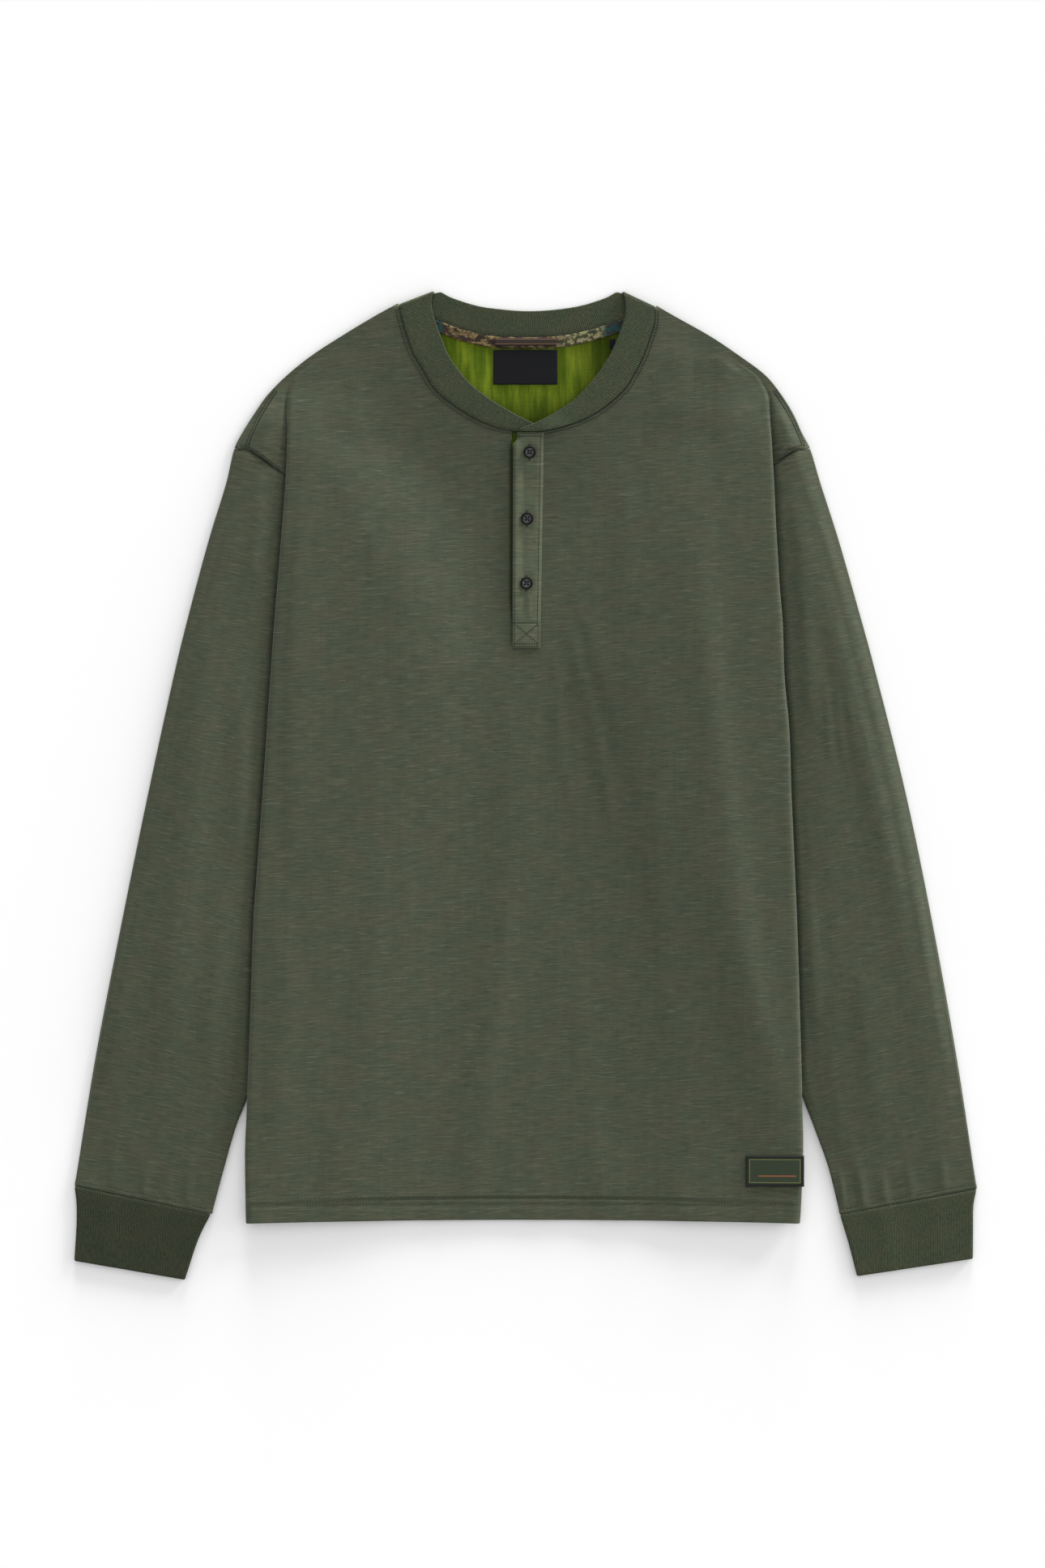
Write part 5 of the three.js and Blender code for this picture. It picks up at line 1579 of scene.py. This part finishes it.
def sew_placket():
    y = np.linspace(FLAP_ROWS_AT["box_top"], FLAP_ROWS_AT["high"], 60)
    left, right = flap_edges(y)
    foot_left, foot_right = flap_edges(FLAP_ROWS_AT["foot"])
    box_left, box_right = flap_edges(FLAP_ROWS_AT["box_top"])
    low_left, low_right = foot_left + WELT["left"], foot_right - WELT["left"]
    box_left, box_right = box_left + WELT["left"], box_right - WELT["left"]
    box_top, box_low, foot = (FLAP_ROWS_AT[key] for key in ("box_top", "box_low", "foot"))
    lines = [
        np.column_stack([left + WELT["left"], y]),
        np.column_stack([right - WELT["right"], y]),
        [(box_left, box_top), (box_right, box_top)],
        [(box_left, box_top), (low_left, foot)],
        [(box_right, box_top), (low_right, foot)],
        [(low_left, box_low), (low_right, box_low)],
        [(low_left, foot), (low_right, foot)],
        [(low_left, box_low), (box_right, box_top)],
        [(box_left, box_top), (low_right, box_low)],
    ]
    for key in ("high", "below_high"):
        ends = [float(edge) for edge in flap_edges(FLAP_ROWS_AT[key])]
        lines.append([(ends[0] + 0.6, FLAP_ROWS_AT[key]), (ends[1] - 0.6, FLAP_ROWS_AT[key])])

    def pressed(x, y):
        return flap_skin(x, y) - flap_press(x, y)

    sew("placket_stitches", [dashes(line, 1.9, 0.66) for line in lines], pressed, 0.32, DARK_THREAD)


def sew_buttonholes():
    """The close threads at both ends of each buttonhole, just beyond the button's rim."""
    starts, ends = [], []
    for button in BUTTONS:
        for way in (-1, 1):
            for step in range(5):
                y = button["y"] + way * (BUTTON["radius"] + 0.1 + 0.33 * step)
                lean = 0.12 * (-1) ** step
                starts.append((button["x"] - 1.1, y - lean))
                ends.append((button["x"] + 1.1, y + lean))
    sew("buttonhole_threads", [(np.array(starts), np.array(ends))], flap_skin, 0.22, SEAM_THREAD)


def sew_hem():
    x_from, x_to = -213, 168
    runs = [zigzag(x_from, 209, HEM_STITCH_Y["low"], HEM_STITCH_Y["high"] - 0.9, 2.3)]
    runs.append(dashes([(x_from, HEM_STITCH_Y["high"]), (x_to, HEM_STITCH_Y["high"])], 2.3, 0.55))
    runs.append(dashes([(x_from, HEM_STITCH_Y["low"] - 0.3), (209, HEM_STITCH_Y["low"] - 0.3)], 2.3, 0.5))

    for run in runs:
        for places in run:
            rise = by_side(places[:, 0], lambda side: hem_rise(side, np.abs(places[:, 0]), HEM_Y))
            places[:, 1] += rise * 0.9
    sew("hem_stitches", runs, front_skin, 0.3, SEAM_THREAD)


SHOULDER_SEAM = [(193, 306), (198.5, 297.5), (204.5, 287.5), (209.5, 277.5), (213.4, 268.5), (215.2, 262.4)]


def sew_armholes():
    """The shoulder's seam, and two rows above the seam where the shoulder meets the sleeve, as far as the fold hides it."""
    runs = []
    for side in SIDES:
        y = np.linspace(SHOULDER_Y - 0.5, 243.5, 30)
        u = armhole_edge(side, y)
        for away in (0.7, 2.7):
            places = np.column_stack([sign_of(side) * (u + 0.1 * away), y + away])
            shows = u > fold_edge(side, y) + 1.5
            runs.append(dashes(places[shows], 1.8, 0.62))
        top = [(sign_of(side) * u, y) for u, y in SHOULDER_SEAM]
        runs.append(dashes(top, 1.3, 0.92))
        runs.append(dashes(np.array(top) + [sign_of(side) * 1.9, 1.0], 2.0, 0.55))
    sew("armhole_stitches", runs, front_skin, 0.4, DARK_THREAD)


def sew_cuffs():
    runs = []
    for side in SIDES:
        row = CUFF[side][0]
        outer = np.array([sign_of(side) * (row["outU"] - 1.5), row["outY"]])
        inner = np.array([sign_of(side) * (row["inU"] + 1.5), row["inY"]])
        runs.append(dashes([outer + [0, 0.5], inner + [0, 0.5]], 1.6, 0.85))
        runs.append(dashes([outer + [0, 4.2], inner + [0, 4.2]], 2.0, 0.6))
    top = 2 * CLOTH + LAYER_GAP

    def skin(x, y):
        return np.full(x.shape, top + 0.05)

    sew("cuff_stitches", runs, skin, 0.36, DARK_THREAD)


def sew_tape():
    x = np.linspace(TAPE["left"] + 1, TAPE["right"] - 1, 90)
    y = back_seam_y(x) - SEAM_GAP - TAPE["deep"] + 0.7
    apart = (x < STRIP_LABEL["left"] - 1) | (x > STRIP_LABEL["right"] + 1)
    runs = [dashes(np.column_stack([x, y])[apart & (x * way > 0)], 1.7, 0.8) for way in (-1, 1)]

    def skin(x, y):
        return np.full(x.shape, CLOTH + REST_GAP + TRIM)

    sew("tape_stitches", runs, skin, 0.22, RUST_THREAD)


def sew_patch():
    inset = 1.0
    left, right = HEM_PATCH["inner"] + inset, HEM_PATCH["outer"] - inset
    low, high = HEM_PATCH["bottom"] + inset, HEM_PATCH["top"] - inset
    ring = [(left, low), (right, low), (right, high), (left, high), (left, low)]
    runs = [dashes([a, b], 1.7, 0.66) for a, b in zip(ring, ring[1:])]
    sew("patch_stitches", runs, patch_skin, 0.2, DARK_THREAD)


def button(place):
    """A lathe-turned button with a thick round rim, a sunk face and four holes."""
    radius, face = BUTTON["radius"], BUTTON["face"]
    rings = np.concatenate([np.linspace(0.04, face, 25), np.linspace(face + 0.1, radius, 13)])[:, None]
    angle = 2 * math.pi * np.arange(72)[None, :] / 72
    x, y = rings * np.cos(angle), rings * np.sin(angle)
    rim = np.clip((rings - face) / (radius - face), 0, 1)
    crown = np.sqrt(np.maximum(1 - (2 * rim - 1) ** 2, 0))
    top = BUTTON["height"] * (0.62 + 0.38 * crown) * np.ones_like(x)
    top[-1] = BUTTON["height"] * 0.5
    foot = 0.5 * smooth((rings - radius + 0.7) / 0.7) * np.ones_like(x)
    away = np.hypot(np.abs(x) - BUTTON["spread"], np.abs(y) - BUTTON["spread"])
    sunk = 1 - smooth((away - BUTTON["hole"] + 0.12) / 0.2)
    top -= 0.95 * sunk
    seat = front_skin(place["x"], place["y"]) - CLOTH / 2 + BUTTON["seat"]
    points = np.stack([place["x"] + x, place["y"] + y, np.full_like(x, seat)], axis=-1)
    normals = np.zeros_like(points)
    normals[..., 2] = 1
    ring_u = np.repeat(rings, 73, axis=1)
    # The second coordinate says how sunk each place is; the button's finish paints shade in the holes from it.
    coords = np.stack([ring_u, np.append(sunk, sunk[:, :1], axis=1)[:, ::-1]], axis=-1)
    shape = wall(points[:, ::-1], normals, foot, top[:, ::-1], closed=True, coords=coords)
    return piece(place["name"] + "_turned", shape, [BUTTON_LOOK, BUTTON_LOOK], place["name"])


def sew_buttons():
    """Two crossed threads through the holes of each button."""
    starts, ends = [], []
    for place in BUTTONS:
        seat = float(front_skin(place["x"], place["y"])) - CLOTH / 2 + BUTTON["seat"]
        z = seat + BUTTON["height"] * 0.62 + 0.1
        reach = BUTTON["spread"]
        for way in (-1, 1):
            for off in (-0.16, 0.16):
                starts.append((place["x"] - reach + off, place["y"] - way * reach, z))
                ends.append((place["x"] + reach + off, place["y"] + way * reach, z))
    threads("button_threads", np.array(starts), np.array(ends), 0.15, DARK_THREAD)


front()
back()
for side in SIDES:
    sleeve(side)
    cuff(side)
collar()
placket_flap()
placket_underlay()
neck_tape()
labels()
hem_patch()
for place in BUTTONS:
    button(place)
sew_neck()
sew_placket()
sew_buttonholes()
sew_buttons()
sew_hem()
sew_armholes()
sew_cuffs()
sew_tape()
sew_patch()


# Floor, light and camera

PIXEL = 0.63
PHOTO = {"width": 1290, "height": 1935, "middle_x": 648.5, "middle_y": 968.5}
CAMERA_HEIGHT = 4000
SENSOR = 36


def add_floor():
    mesh = bpy.data.meshes.new("floor")
    side = 6
    corners = [(-side, -side, 0), (side, -side, 0), (side, side, 0), (-side, side, 0)]
    mesh.from_pydata(corners, [], [(0, 1, 2, 3)])
    look = Look("floor", roughness=1.0, specular=0.0)
    look.shader.inputs["Base Color"].default_value = (0.9, 0.9, 0.9, 1)
    mesh.materials.append(look.material)
    floor = bpy.data.objects.new("floor", mesh)
    floor.location.z = -0.0003
    bpy.context.scene.collection.objects.link(floor)


def add_camera():
    data = bpy.data.cameras.new("camera")
    camera = bpy.data.objects.new("camera", data)
    bpy.context.scene.collection.objects.link(camera)
    x = (PHOTO["width"] / 2 - PHOTO["middle_x"]) * PIXEL
    y = (PHOTO["middle_y"] - PHOTO["height"] / 2) * PIXEL
    camera.location = Vector(((x + SHIFT[0]) / 1000, (y + SHIFT[1]) / 1000, CAMERA_HEIGHT / 1000))
    data.sensor_width = SENSOR
    data.lens = SENSOR * CAMERA_HEIGHT / (PHOTO["height"] * PIXEL)
    data.clip_end = 100
    bpy.context.scene.camera = camera


def add_sun(name, strength, azimuth, elevation, width):
    """A broad, distant soft light. Azimuth is counted from +Y towards +X, and all three angles are in degrees."""
    data = bpy.data.lights.new(name, "SUN")
    data.energy = strength
    data.angle = math.radians(width)
    light = bpy.data.objects.new(name, data)
    turn, rise = math.radians(azimuth), math.radians(elevation)
    way = Vector((math.sin(turn) * math.cos(rise), math.cos(turn) * math.cos(rise), math.sin(rise)))
    light.rotation_euler = way.to_track_quat("Z", "Y").to_euler()
    bpy.context.scene.collection.objects.link(light)


def add_world(strength):
    world = bpy.data.worlds.new("studio")
    world.use_nodes = True
    world.node_tree.nodes["Background"].inputs["Color"].default_value = (1, 1, 1, 1)
    world.node_tree.nodes["Background"].inputs["Strength"].default_value = strength
    bpy.context.scene.world = world


add_floor()
add_camera()
add_world(0.775)
add_sun("low_key", 3.5, azimuth=2, elevation=6.5, width=18)
add_sun("low_key_right", 3.5, azimuth=42, elevation=6.5, width=18)
add_sun("side_key", 1.0, azimuth=76, elevation=15, width=30)
bpy.context.scene.view_settings.view_transform = "Standard"
